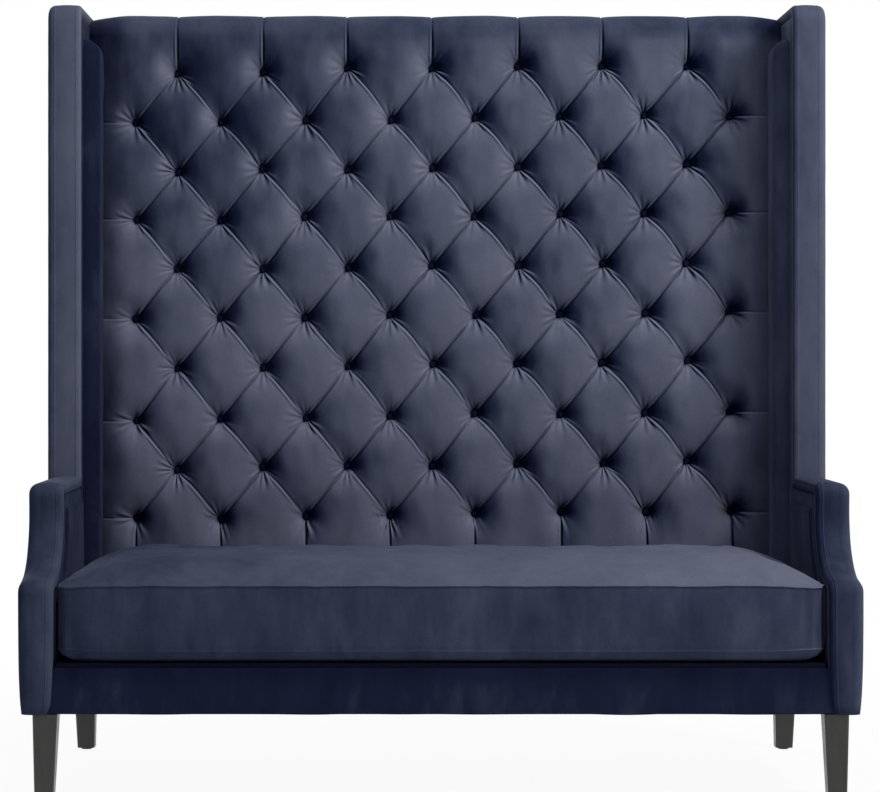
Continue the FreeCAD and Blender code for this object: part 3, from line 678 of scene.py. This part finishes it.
def net_mesh(t):
    """Points and faces of the buttoned net, each patch divided at the shares t."""
    places = []
    faces = []
    count = len(t)
    for a, b, c, d in net_quads():
        a, b, c, d = (np.array(p) for p in (a, b, c, d))
        u, v = np.meshgrid(t, t)
        u, v = u.ravel()[:, None], v.ravel()[:, None]
        faces += grid_faces(count, count, start=len(places) * count ** 2)
        places.append((a * (1 - u) + b * u) * (1 - v) + (d * (1 - u) + c * u) * v)
    moved, depth = buttoned(np.concatenate(places))
    y = rear_plane(moved[:, 1], crown_layer) + depth
    return np.stack([moved[:, 0], y, moved[:, 1]], axis=1), faces


def roll_steps():
    """Section of the roll over the top edge: y, z and the way outwards, from its front to its rear foot."""
    front_y = rear_plane(roll_start, crown_layer)
    back_y = rear_plane(height) - 0.001
    bend = 0.012
    steps = [(front_y + roll_reach * (1 - c), roll_start + roll_height * s, -c, s) for s, c in quarter(14)]
    steps += [(y, height, 0.0, 1.0) for y in np.linspace(front_y + 0.07, back_y - bend, 9)]
    steps += [(back_y - bend + bend * s, height - bend + bend * c, s, c) for s, c in quarter(5)[1:]]
    return steps + [(back_y - 0.0005, height - facing_depth, 1.0, 0.0)]


def roll_mesh(t, start):
    """The roll carries the upright pleats on over the top edge, ever shallower."""
    line = [-half_back] + [x for x, _ in sorted(rows[0] + rows[1])] + [half_back]
    xs = np.concatenate([a + (b - a) * t[:-1] for a, b in zip(line, line[1:])] + [[half_back]])
    edge = np.stack([xs, np.full_like(xs, roll_start)], axis=1)
    moved, depth = buttoned(edge)
    steps = roll_steps()
    level_depth = 0.0012 + 0.002 * side_share(xs)
    travel = 0.0
    roll = []
    for k, (y, z, ny, nz) in enumerate(steps):
        if k:
            travel += math.hypot(y - steps[k - 1][0], z - steps[k - 1][1])
        fade = math.exp(-travel / 0.09)
        keep = depth * fade + level_depth * (1 - fade)
        roll.append(np.stack([moved[:, 0], y - ny * keep, z - nz * keep], axis=1))
    return np.concatenate(roll), grid_faces(len(steps), len(xs), start=start)


def rim_to_foam(shell):
    """Carry the open rim of the back to the foam behind it."""
    rim = [edge for edge in shell.edges if edge.is_boundary]
    made = bmesh.ops.extrude_edge_only(shell, edges=rim)
    for vert in made["geom"]:
        if isinstance(vert, bmesh.types.BMVert):
            vert.co.y = rear_plane(vert.co.z, foam_layer)


def build_back():
    t = warped(38)
    net, faces = net_mesh(t)
    roll, roll_faces = roll_mesh(t, len(net))
    piece = new_piece("buttoned_back", np.concatenate([net, roll]), faces + roll_faces, ["tufted_back"])
    reshape(piece.data, rim_to_foam)
    lay_pile_and_shade(piece, back_lie, extra=back_shade)


def build_buttons():
    """Cloth-covered buttons, each a low dome with crimps round its rim."""
    rng = np.random.default_rng(5)
    around = 28
    # Each ring's radius and height over the button's plane, from its middle to behind its rim
    profile = [
        (0.0002, 0.0060), (0.003, 0.0056), (0.006, 0.0042), (0.0082, 0.0018),
        (button_radius, -0.0012), (0.0088, -0.006), (0.004, -0.010),
    ]
    points = []
    faces = []
    for x, z in pits:
        turn = rng.uniform(0, 2 * math.pi)
        tilt = rng.uniform(-0.12, 0.12, 2)
        start = len(points)
        for radius, rise in profile:
            for k in range(around):
                angle = 2 * math.pi * k / around
                crimp = 1 + 0.035 * math.cos(7 * angle + turn) * (radius / button_radius) ** 3
                dx, dz = radius * crimp * math.cos(angle), radius * crimp * math.sin(angle)
                y = rear_plane(z, crown_layer) + button_depth - rise + tilt[0] * dx + tilt[1] * dz
                points.append((x + dx, y, z + dz))
        faces += grid_faces(len(profile), around, wrap=True, start=start)
        faces.append(tuple(start + k for k in range(around)))
        faces.append(tuple(start + (len(profile) - 1) * around + k for k in range(around)))
    # The buttons are near black: painted shade, as they sit deep in the pits
    new_piece("covered_buttons", points, faces, ["back_buttons"], button_lie)


# Padded bands over the arms and wings

def band_section(outer_round, inner_round, outer_seam):
    """Section of a band from its outer to its inner side: x and how deep it lies behind the outline."""
    crown = 0.0015
    outer_depth = min(outer_round, 0.0205)
    outer = [(half_width - outer_round * (1 - c), crown + outer_depth * (1 - s)) for s, c in quarter(10)]
    inner = [(slab_inner + inner_round * (1 - c), crown + inner_round * (1 - s)) for s, c in quarter(8)]
    low, high = inner[-1][0], outer[-1][0]
    half, centre = (high - low) / 2, (high + low) / 2
    # Ridge seams just inside both rounds: place, height and half width
    ridges = ((high - 0.0005, outer_seam, 0.0009), (low + 0.0005, 0.0007, 0.0016))
    near = (-0.0030, -0.0016, -0.0008, 0.0, 0.0008, 0.0016, 0.0030)
    xs = [ridge[0] + side for ridge in ridges for side in near] + list(np.linspace(high, low, 9)[1:-1])
    middle = []
    for x in sorted((x for x in xs if low < x < high), reverse=True):
        seam = max(rise * math.exp(-((x - place) / width) ** 2) for place, rise, width in ridges)
        middle.append((x, crown * ((x - centre) / half) ** 2 - seam))
    return [(half_width, facing_depth)] + outer + middle + inner[::-1] + [(slab_inner, facing_depth)]


def band(line, seed, section, toe):
    """Swept band: rings of its section along a line of places and inward normals, drawn in at its toe."""
    rings = []
    travel = 0.0
    for k, (point, normal) in enumerate(line):
        if k:
            travel += np.linalg.norm(point - line[k - 1][0])
        drawn = toe * math.exp(-travel / 0.055)
        corner = 0.6 * toe * (1 - math.sqrt(1 - (1 - min(travel / 0.009, 1.0)) ** 2))
        for x, inset in section:
            outer_share = (x - slab_inner) / (half_width - slab_inner)
            here = x - 0.68 * drawn * outer_share + 0.8 * (drawn + corner) * (1 - outer_share)
            deeper = inset + (0.25 * drawn + 0.5 * corner) * (1 - inset / facing_depth)
            rings.append((here, point[0] + normal[0] * deeper, point[1] + normal[1] * deeper))
    points = np.array(rings)
    shown = np.array([1.0 - abs(inset) / facing_depth for _, inset in section] * len(line))
    points[:, 0] += 0.00021 * lumps(points, 0.06, seed) * shown
    return points


def build_bands():
    overlap = 0.0215
    arm = arm_line(leg_height, wing_front + facing_depth)
    wing = wing_line(arm_height - overlap, rear_plane(height))
    for name, corners, section, toe, lies in (
        ("arm", arm, band_section(0.026, 0.012, 0.0), 0.0100, arm_lies),
        ("wing", wing, band_section(0.015, 0.008, 0.0008), 0.0, wing_lies),
    ):
        line = filled_line(corners, 0.02)
        count = len(section)
        faces = grid_faces(len(line), count, wrap=True)
        faces += [tuple(range(count)), tuple(range((len(line) - 1) * count, len(line) * count))]

        def swept(sign):
            return band(line, 30 + sign, section, toe)

        save_pair(name + "_band", swept, faces, name + "_facing", lies)


# Pads on the sides

def line_distance(points, line, closed):
    """Distance of each point to a line of points."""
    line = np.asarray(line, float)
    ends = np.roll(line, -1, axis=0) if closed else line[1:]
    starts = line if closed else line[:-1]
    best = np.full(len(points), np.inf)
    for a, b in zip(starts, ends):
        run = b - a
        share = np.clip(((points - a) @ run) / max(run @ run, 1e-12), 0, 1)
        best = np.minimum(best, np.linalg.norm(points - (a + share[:, None] * run), axis=1))
    return best


def signed_area(line):
    """Area inside a closed line of places, positive where it runs anticlockwise."""
    return sum(a[0] * b[1] - a[1] * b[0] for a, b in zip(line, np.roll(line, -1, axis=0))) / 2


def inward_normals(line):
    ahead = np.roll(line, -1, axis=0) - np.roll(line, 1, axis=0)
    normal = np.stack([-ahead[:, 1], ahead[:, 0]], axis=1)
    normal /= np.linalg.norm(normal, axis=1)[:, None]
    return normal * math.copysign(1.0, signed_area(line))


def pad_mesh(outline, rolled, insets, spacing):
    """Flat mesh inside an outline, close set at its edge, with each point's distance to its rolled part."""
    outline = np.asarray(outline, float)
    dense = []
    for a, b in zip(outline, np.roll(outline, -1, axis=0)):
        count = max(1, round(np.linalg.norm(b - a) / (spacing * 0.5)))
        dense += [a + (b - a) * k / count for k in range(count)]
    dense = np.array(dense)
    normal = inward_normals(dense)
    rings = []
    for inset in insets:
        ring = dense + normal * inset
        rings.append(ring[line_distance(ring, outline, True) > inset * 0.93])
    low, high = outline.min(0), outline.max(0)
    us = np.arange(low[0] + spacing / 2, high[0], spacing)
    vs = np.arange(low[1] + spacing / 2, high[1], spacing)
    grid = np.stack(np.meshgrid(us, vs), axis=-1).reshape(-1, 2)
    grid = grid[line_distance(grid, outline, True) > insets[-1] + spacing * 0.4]
    seeds = [Vector(p) for p in np.concatenate([dense] + rings + [grid])]
    edges = [(i, (i + 1) % len(dense)) for i in range(len(dense))]
    verts, _, faces, _, _, _ = geometry.delaunay_2d_cdt(seeds, edges, [], 1, 1e-6)
    flat = np.array([tuple(v) for v in verts])
    return flat, [tuple(f) for f in faces], len(dense), line_distance(flat, rolled, False)


def side_pad(outline, rolled, insets, spacing, base, level, roll, seed, crown, crown_reach, ripple):
    """Pad on a plane of constant x: a function that gives its points on one side, and its faces.

    It has a rolled edge, a slight crown, ripples along its edge, and a rim down to its base.
    """
    flat, faces, rim, distance = pad_mesh(outline, rolled, insets, spacing)
    way = math.copysign(1.0, level - base)

    def points(sign):
        own = seed + sign
        rise = (level - base) * arch(distance / roll)
        swell = crown * soft(distance / crown_reach)
        swell += 0.0005 * lumps(flat, 0.12, own) * soft(distance / 0.03)
        pucker = ripple * lumps(flat, 0.02, own + 1) * np.exp(-((distance - 0.012) / 0.010) ** 2)
        top = np.stack([base + rise + way * (swell + pucker), flat[:, 0], flat[:, 1]], axis=1)
        low = top[:rim].copy()
        low[:, 0] = base
        return np.concatenate([top, low])

    return points, faces + skirt_faces(range(rim), len(flat))


def joined(first, second):
    """Two pads as one."""
    (first_points, first_faces), (second_points, second_faces) = first, second
    shift = len(first_points(1))
    faces = first_faces + [tuple(i + shift for i in face) for face in second_faces]
    return lambda sign: np.concatenate([first_points(sign), second_points(sign)]), faces


panel_insets = (0.0008, 0.002, 0.0045, 0.009, 0.018)
lining_insets = (0.001, 0.003, 0.007, 0.014)
field_insets = (0.0006, 0.0016, 0.0032, 0.006, 0.011, 0.020)
wing_pad_insets = (0.0003, 0.0012, 0.003, 0.0055, 0.009, 0.013, 0.018, 0.025, 0.034)
inside_facing = facing_depth + seam_gap


def inset_line(corners, inset):
    """Places along a rounded line, moved inwards."""
    return [tuple(point + normal * inset) for point, normal in filled_line(corners, 0.03)]


def wing_top_line(rear_limit):
    """The wing facing's inner edge over its top corner, from its rear end forwards and down."""
    line = inset_line(wing_line(0.9, rear), inside_facing)
    return [place for place in line if place[1] > 0.95 and place[0] < rear_limit][::-1]


def lining_pad(outline, rolled, spacing, seed):
    """Thin lining on the boards inside an arm or wing."""
    level = slab_inner + 0.0003
    return side_pad(outline, rolled, lining_insets, spacing, board_inner, level, 0.004, seed, 0, 0.1, 0.0003)


def outside_panel(outline, spacing, seed):
    return side_pad(
        outline, outline + outline[:1], panel_insets, spacing,
        panel_inner, half_width - 0.0012, 0.006, seed, 0.001, 0.1, 0.0006,
    )


def build_outside_arms():
    outline = inset_line(arm_line(leg_height, rear), inside_facing)
    outline[0] = (front + inside_facing, leg_height)
    outline[-1] = (rear_plane(arm_height - facing_depth), arm_height - inside_facing)
    panel_points, faces = outside_panel(outline + [(rear_plane(leg_height), leg_height)], 0.022, 50)

    def drawn_in(sign):
        """The panel follows the facing's toe inwards at its foot."""
        points = panel_points(sign)
        drawn = points[:, 0] - 0.0060 * np.exp(-(points[:, 2] - leg_height) / 0.055)
        on_face = points[:, 0] > panel_inner + 0.0005
        points[:, 0] = np.where(on_face, np.maximum(drawn, panel_inner + 0.0006), points[:, 0])
        return points

    save_pair("outside_arm", drawn_in, faces, "outside_arm_panel", outside_lies)


def build_outside_wings():
    low, high = arm_height - facing_depth, height - facing_depth
    foot = low + 2 * seam_gap
    outline = [(rear_plane(low), foot), (rear_plane(high), high - seam_gap)]
    outline += wing_top_line(0.35) + [(wing_front + inside_facing, foot)]
    points, faces = outside_panel(outline, 0.024, 60)
    save_pair("outside_wing", points, faces, "outside_wing_panel", outside_lies)


def build_inner_arms():
    """A lining, and a raised field inside its border."""
    end = wing_front + facing_depth

    def outline(inset):
        line = inset_line(arm_line(0.1, rear), inside_facing + inset)
        line = [place for place in line if place[0] < end - 0.03 and place[1] > rail_top + 0.03]
        top = arm_height - inside_facing - inset
        return [(line[0][0], rail_top)] + line + [(end, top), (end, rail_top)]

    lining, field = outline(0.0), outline(arm_field_border)
    points, faces = joined(
        lining_pad(lining, lining[:-1], 0.022, 70),
        side_pad(
            field, field[:-1], field_insets, 0.018,
            slab_inner + 0.004, arm_field_inner + 0.0007, 0.007, 72, 0.0006, 0.08, 0.0005,
        ),
    )
    save_pair("inner_arm", points, faces, "arm_pad", inner_arm_lies)


def build_inner_wings():
    """A lining, and the full pad that runs down to the seat."""
    low, high = deck_top, height - inside_facing
    lining = [(rear_plane(low, frame_layer), low), (rear_plane(high, frame_layer), high)]
    lining += wing_top_line(0.3) + [(wing_front + inside_facing, low)]
    corner = 0.020
    arc = [
        (wing_pad_front + corner * (1 - math.cos(a)), wing_pad_top - corner * (1 - math.sin(a)))
        for a in np.linspace(0, math.pi / 2, 7)
    ]
    behind = crown_layer + body_gap
    full = [(rear_plane(low, behind), low), (rear_plane(wing_pad_top, behind), wing_pad_top)]
    full += arc[::-1] + [(wing_pad_front, low)]
    points, faces = joined(
        lining_pad(lining, lining[1:], 0.03, 80),
        side_pad(
            full, full[1:], wing_pad_insets, 0.014,
            slab_inner + 0.002, wing_pad_inner + 0.0015, 0.030, 82, 0.001, 0.06, 0.0008,
        ),
    )
    save_pair("inner_wing", points, faces, "wing_pad", inner_wing_lies)


def build_outside_back():
    columns, levels = 150, 130

    def crowded(low, high, count):
        """Places from low to high, closer set towards both ends."""
        s = np.linspace(-1, 1, count)
        return (low + high) / 2 + (high - low) / 2 * np.sign(s) * (1 - (1 - np.abs(s)) ** 1.25)

    low, high = leg_height, height - facing_depth
    xx, zz = np.meshgrid(crowded(-panel_inner, panel_inner, columns), crowded(low, high, levels))
    place = np.stack([xx.ravel(), zz.ravel()], axis=1)
    inward = np.minimum(panel_inner - np.abs(place[:, 0]), np.minimum(place[:, 1] - low, high - place[:, 1]))
    edge = 0.005 * (1 - arch(inward / 0.007))
    uneven = 0.0009 * lumps(place, 0.22, 9) + 0.0005 * lumps(place, 0.05, 10) * np.exp(-inward / 0.05)
    y = rear_plane(place[:, 1]) - 0.0018 - edge + uneven * soft(inward / 0.02)
    points = np.stack([place[:, 0], y, place[:, 1]], axis=1)
    grid = np.arange(levels * columns).reshape(levels, columns)
    rim = np.concatenate([grid[0], grid[1:, -1], grid[-1, -2::-1], grid[-2:0:-1, 0]]).tolist()
    base = points[rim].copy()
    base[:, 1] = rear_plane(base[:, 2], back_panel_layer)
    faces = grid_faces(levels, columns) + skirt_faces(rim, len(points))
    points = np.concatenate([points, base])
    new_piece("outside_back", points, faces, ["outside_back_panel"], outside_lies[0])


# Seat: border, deck and the loose cushion

def border_shade(places, normals):
    """Painted shadow: the border is darkest right under the cushion's overhang."""
    return -0.10 * np.exp(-((border_top - places[:, 2]) / 0.030) ** 2)


def build_border():
    """Padded border between the arm bands, its ends tucked behind them."""
    columns = 180
    bend, thickness, tuck = 0.004, 0.010, 0.014
    low, high = leg_height, border_top
    rounds = [(bend * (1 - s), bend * (1 - c)) for s, c in quarter(6)]
    section = [(thickness, low)] + [(dy, low + dz) for dy, dz in rounds]
    section += [(0.0, z) for z in np.linspace(low + bend, high - bend, 10)[1:-1]]
    section += [(dy, high - dz) for dy, dz in rounds[::-1]] + [(thickness, high)]
    xs = np.linspace(-slab_inner - tuck, slab_inner + tuck, columns)
    points = np.array([(x, border_front + dy, z) for dy, z in section for x in xs])
    shown = 1 - np.clip((points[:, 1] - border_front) / bend, 0, 1)
    points[:, 1] += shown * (0.0008 * lumps(points[:, [0, 2]] * (1, 0.5), 0.07, 11) - 0.0012)
    points[:, 2] += 0.0006 * lumps(points[:, [0]], 0.2, 12) * (points[:, 2] < low + 0.006)
    faces = grid_faces(len(section), columns)
    # Painted shade: the border is set dark, and darkest right under the cushion
    lie = (border_lie, 0.0, 0.0, border_shade)
    new_piece("front_border_velvet", points, faces, ["front_border"], lie)


def build_deck():
    """Platform cloth, rolled over the front border's top edge."""
    columns, levels = 90, 40
    thickness, roll_depth, roll_fall = 0.0095, 0.0045, 0.005
    half = slab_inner - 0.0058
    back = rear_plane(leg_height, frame_layer)
    section = [(border_front + 0.0005, deck_top - thickness)]
    section += [(border_front + roll_depth * (1 - c), deck_top - roll_fall * (1 - s)) for s, c in quarter(5)]
    section += [(y, deck_top) for y in np.linspace(border_front + 0.006, back, levels)]
    section.append((back, deck_top - thickness))
    points = np.array([(x, y, z) for y, z in section for x in np.linspace(-half, half, columns)])
    dents = (1 + lumps(points[:, :2], 0.12, 13)).clip(0, 2)
    points[:, 2] -= 0.0004 * dents * (points[:, 2] > deck_top - 0.001)
    faces = grid_faces(len(section), columns)
    new_piece("seat_deck_cloth", points, faces, ["seat_deck"], slot="deck_cloth")


def cushion_outline():
    """Closed outline of the cushion's seams in (x, y), with rounded corners and the rear notches."""
    corner, rear_corner = 0.034, 0.018
    notch_start, notch_end = 0.104, 0.130
    right = [(cushion_half - corner * (1 - s), cushion_front + corner * (1 - c)) for s, c in quarter(8)]
    right += [(cushion_half, y) for y in np.linspace(cushion_front + corner, notch_start, 46)[1:]]
    for t in np.linspace(0, 1, 10)[1:]:
        x = cushion_half + (cushion_half_rear - cushion_half) * soft(t)
        right.append((x, notch_start + (notch_end - notch_start) * t))
    right += [(cushion_half_rear, y) for y in np.linspace(notch_end, cushion_rear - rear_corner, 8)[1:]]
    for s, c in quarter(5)[1:]:
        right.append((cushion_half_rear - rear_corner * (1 - c), cushion_rear - rear_corner * (1 - s)))
    rear_reach, front_reach = cushion_half_rear - rear_corner, cushion_half - corner
    rear_run = [(x, cushion_rear) for x in np.linspace(rear_reach, -rear_reach, 100)[1:-1]]
    left = [(-x, y) for x, y in right[::-1]]
    front_run = [(x, cushion_front) for x in np.linspace(-front_reach, front_reach, 110)[1:-1]]
    return np.array(right + rear_run + left + front_run)


def cushion_levels():
    """Underside, foot seam, boxing and top seam: outward offset, height, and share of the sway."""
    under = ((-0.055, 0.0, 0), (-0.036, 0.0008, 0), (-0.022, 0.004, 0), (-0.012, 0.009, 0))
    foot = (
        (-0.005, -0.0085, 0.3), (-0.0016, -0.0032, 0.6), (-0.0014, -0.0018, 0.6), (0.0008, -0.0004, 0.6),
        (0.0010, 0.0006, 0.6), (-0.0014, 0.0018, 0.7), (-0.0004, 0.005, 0.8),
    )
    shares = np.linspace(0.10, 0.90, 13)
    boxing = [(0.0030 * math.sin(math.pi * s) - 0.0007, (seam_top - seam_foot) * s, 1.0) for s in shares]
    top = (
        (-0.0004, -0.006, 0.8), (-0.0016, -0.0022, 0.7), (0.0006, -0.0008, 0.6),
        (0.0012, 0.0004, 0.6), (0.0004, 0.0014, 0.6), (-0.0018, 0.0016, 0.6),
    )
    groups = ((cushion_base, under), (seam_foot, foot), (seam_foot, boxing), (seam_top, top))
    return [(offset, z + rise, share) for z, levels in groups for offset, rise, share in levels]


def with_height(xy, z):
    return np.concatenate([xy, np.broadcast_to(z, (len(xy),))[:, None]], axis=1)


def cushion_sides(outline, normal):
    """Rings up the cushion's sides, which sway and fold a little; its front corners are drawn in."""
    run = np.concatenate([[0], np.cumsum(np.linalg.norm(np.diff(outline, axis=0), axis=1))])[:, None]
    corners = np.array([(s * (cushion_half - 0.012), cushion_front + 0.012) for s in (-1, 1)])
    from_corner = np.min(np.linalg.norm(outline[:, None] - corners[None], axis=2), axis=1)
    near_corner = np.exp(-(from_corner / 0.05) ** 2)
    sway = 0.0010 * lumps(run, 0.16, 31) + 0.0004 * lumps(run, 0.05, 32)
    folds = 0.0009 * lumps(run, 0.028, 33) * (0.4 + 2.2 * near_corner)
    rings = []
    for offset, z, share in cushion_levels():
        up_boxing = np.clip((z - seam_foot) / (seam_top - seam_foot), 0, 1)
        up_side = np.clip((z - cushion_base) / (seam_top - cushion_base), 0, 1)
        drawn = -0.004 * near_corner * math.sin(math.pi * up_boxing)
        xy = outline + normal * (offset + share * (sway + folds) + drawn)[:, None]
        fall = (0.5 * sway - 0.0035 * near_corner) * up_boxing
        lift = 0.004 * near_corner * (1 - up_side) * (z > cushion_base + 0.003)
        rings.append(with_height(xy, z + fall + lift))
    return rings


def cushion_crown(outline, normal, spine, top_line):
    """Rings over the crown: the outline drawn in, ring by ring, towards a line along the middle."""
    foot = seam_top + 0.0016
    rings = []
    for t in 1 - (1 - np.linspace(0, 1, 30)[1:]) ** 1.35:
        xy = outline + (spine - outline) * t - normal * 0.0018 * (1 - t)
        inside_end = cushion_half - np.abs(xy[:, 0])
        inside_edge = np.minimum(xy[:, 1] - cushion_front, cushion_rear - xy[:, 1])
        across = 1 - (1 - np.clip(inside_end / 0.155, 0, 1)) ** 2
        along = 1 - (1 - np.clip(inside_edge / 0.15, 0, 1)) ** 2
        uneven = (0.0016 * lumps(xy, 0.16, 34) + 0.0007 * lumps(xy, 0.05, 35)) * soft(t / 0.15)
        leaves_seam = soft(t / 0.2)
        rise = (crown_top - foot) * across * along
        rings.append(with_height(xy, top_line * (1 - leaves_seam) + foot * leaves_seam + rise + uneven))
    return rings


def cushion_painted_light(places, normals):
    """Painted light: the top, facing up, is paler, most towards its right end, where the light comes from;
    the boxing a little paler there too.
    """
    top = soft((normals[:, 2] - 0.35) / 0.4)
    right = places[:, 0] / cushion_half
    return top * (0.25 + 0.22 * right) + (1 - top) * 0.045 * right


def build_cushion():
    outline = cushion_outline()
    normal = -inward_normals(outline)
    spine_half = 0.50
    spine_x = np.clip(outline[:, 0], -spine_half, spine_half)
    spine = np.stack([spine_x, np.full_like(spine_x, (cushion_front + cushion_rear) / 2)], axis=1)
    underside = [with_height(outline + (spine - outline) * t, cushion_base) for t in (1.0, 0.5)]
    sides = cushion_sides(outline, normal)
    rings = underside + sides + cushion_crown(outline, normal, spine, sides[-1][:, 2])
    faces = grid_faces(len(rings), len(outline), wrap=True)
    nodes = ["seat_cushion_cover", "seat_cushion_core"]
    lie = (cushion_lie, 0.0, 0.0, cushion_painted_light)
    new_piece("bench_cushion", np.concatenate(rings), faces, nodes, lie, body="seat_cushion")


def around_leg(leg, edge):
    """Places of the notch round a leg, from its inner to its outer side, in an edge of the cover."""
    gap = 0.0015
    low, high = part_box(leg)
    end = high.y + gap if edge < 0 else low.y - gap
    return [(low.x - gap, edge), (low.x - gap, end), (high.x + gap, end), (high.x + gap, edge)]


def build_dust_cover():
    """Thin cloth stapled under the seat box, let out round each leg."""
    half = half_width - 0.015
    y0, y1 = border_front + 0.010, rear_plane(leg_height, back_panel_layer)
    outline = around_leg("leg_front_right", y0) + [(half, y0), (half, y1)]
    outline += around_leg("leg_rear_right", y1)[::-1]
    outline += [(-x, y) for x, y in outline[::-1]]
    flat, faces, _, distance = pad_mesh(outline, outline + outline[:1], (0.004, 0.012), 0.03)
    sag = 0.0006 * lumps(flat, 0.10, 41) * soft(distance / 0.05)
    points = np.stack([flat[:, 0], flat[:, 1], leg_height - 0.0006 - np.abs(sag)], axis=1)
    piece = new_piece("dust_cloth_under_seat", points, faces, ["dust_cover"], slot="dust_cloth")


# Floor, light and camera

def seen_ray(tree):
    """1 for rays from the camera or a reflection, 0 for the rest."""
    light_path = shader_node(tree, "LightPath")
    return maths(tree, "MAXIMUM", light_path.outputs["Is Camera Ray"], light_path.outputs["Is Glossy Ray"])


def build_floor():
    """Pale floor: white where it is seen, with a share of its shadow near the settee."""
    half = 9
    mesh = bpy.data.meshes.new("floor")
    corners = [(-half, -half, 0), (half, -half, 0), (half, half, 0), (-half, half, 0)]
    mesh.from_pydata(corners, [], [(0, 1, 2, 3)])
    floor = linked("floor", mesh)
    material, tree, shader = node_material("pale_floor")
    feed(tree, shader, {"Base Color": grey_ramp(tree, noise(tree, 2, 2), 0.88, 0.92), "Roughness": 0.9})
    glow = shader_node(tree, "Emission", {"Color": (1, 1, 1, 1)})
    place = shader_node(tree, "TexCoord").outputs["Object"]
    away = shader_node(tree, "VectorMath", {0: place}, operation="LENGTH").outputs["Value"]
    fade = {"Value": away, "From Min": 1.0, "From Max": 2.6, "To Min": 0.94, "To Max": 1.0}
    white_share = shader_node(tree, "MapRange", fade).outputs["Result"]
    factor = maths(tree, "MULTIPLY", seen_ray(tree), white_share)
    inputs = {"Fac": factor, 1: shader.outputs["BSDF"], 2: glow.outputs["Emission"]}
    mix = shader_node(tree, "MixShader", inputs)
    tree.links.new(mix.outputs["Shader"], tree.nodes["Material Output"].inputs["Surface"])
    mesh.materials.append(material)


def build_world():
    """Dim bluish light from all round, with a white backdrop where it is seen."""
    world = bpy.data.worlds.new("studio")
    scene.world = world
    world.use_nodes = True
    tree = world.node_tree
    inputs = {"A": (0.22, 0.23, 0.26, 1), "B": (1, 1, 1, 1), "Factor": seen_ray(tree)}
    tone = shader_node(tree, "Mix", inputs, data_type="RGBA")
    tree.links.new(tone.outputs["Result"], tree.nodes["Background"].inputs["Color"])


def build_lamps():
    target = Vector((0, 0.1, 0.85))
    for name, place, size, energy, colour in (
        ("key", (3.1, -2.3, 3.5), 1.2, 150, (1.0, 0.98, 0.96)),
        ("fill", (-3.0, -3.6, 2.2), 2.2, 22, (0.94, 0.96, 1.0)),
        ("over", (0.2, -0.9, 3.9), 2.0, 30, (1.0, 1.0, 1.0)),
        ("behind", (-1.5, 4.0, 2.8), 2.4, 70, (1.0, 1.0, 1.0)),
    ):
        lamp = bpy.data.lights.new(name, "AREA")
        lamp.size = size
        lamp.energy = energy
        lamp.color = colour
        holder = linked(name, lamp)
        holder.location = place
        holder.rotation_euler = (target - Vector(place)).to_track_quat("-Z", "Y").to_euler()


def build_camera():
    """Level camera in front of the settee, fitted to the photograph's 880 by 792 pixels."""
    picture_width, picture_height = 880.0, 792.0
    focal_pixels = 2582.0
    centre_x, centre_y = 391.5, 358.6
    camera = bpy.data.cameras.new("camera")
    camera.sensor_width = 36.0
    camera.lens = camera.sensor_width * focal_pixels / picture_width
    camera.shift_x = (picture_width / 2 - centre_x) / picture_width
    camera.shift_y = -(picture_height / 2 - centre_y) / picture_width
    holder = linked("camera", camera)
    holder.location = (-0.099, front - 5.169, 0.8867)
    holder.rotation_euler = (math.pi / 2, 0, 0)
    scene.camera = holder


scene.view_settings.view_transform = "Standard"
dress_nodes()
for build in (
    build_back, build_buttons, build_bands, build_outside_arms, build_outside_wings, build_inner_arms,
    build_inner_wings, build_outside_back, build_border, build_deck, build_cushion, build_dust_cover,
    build_floor, build_world, build_lamps, build_camera,
):
    build()
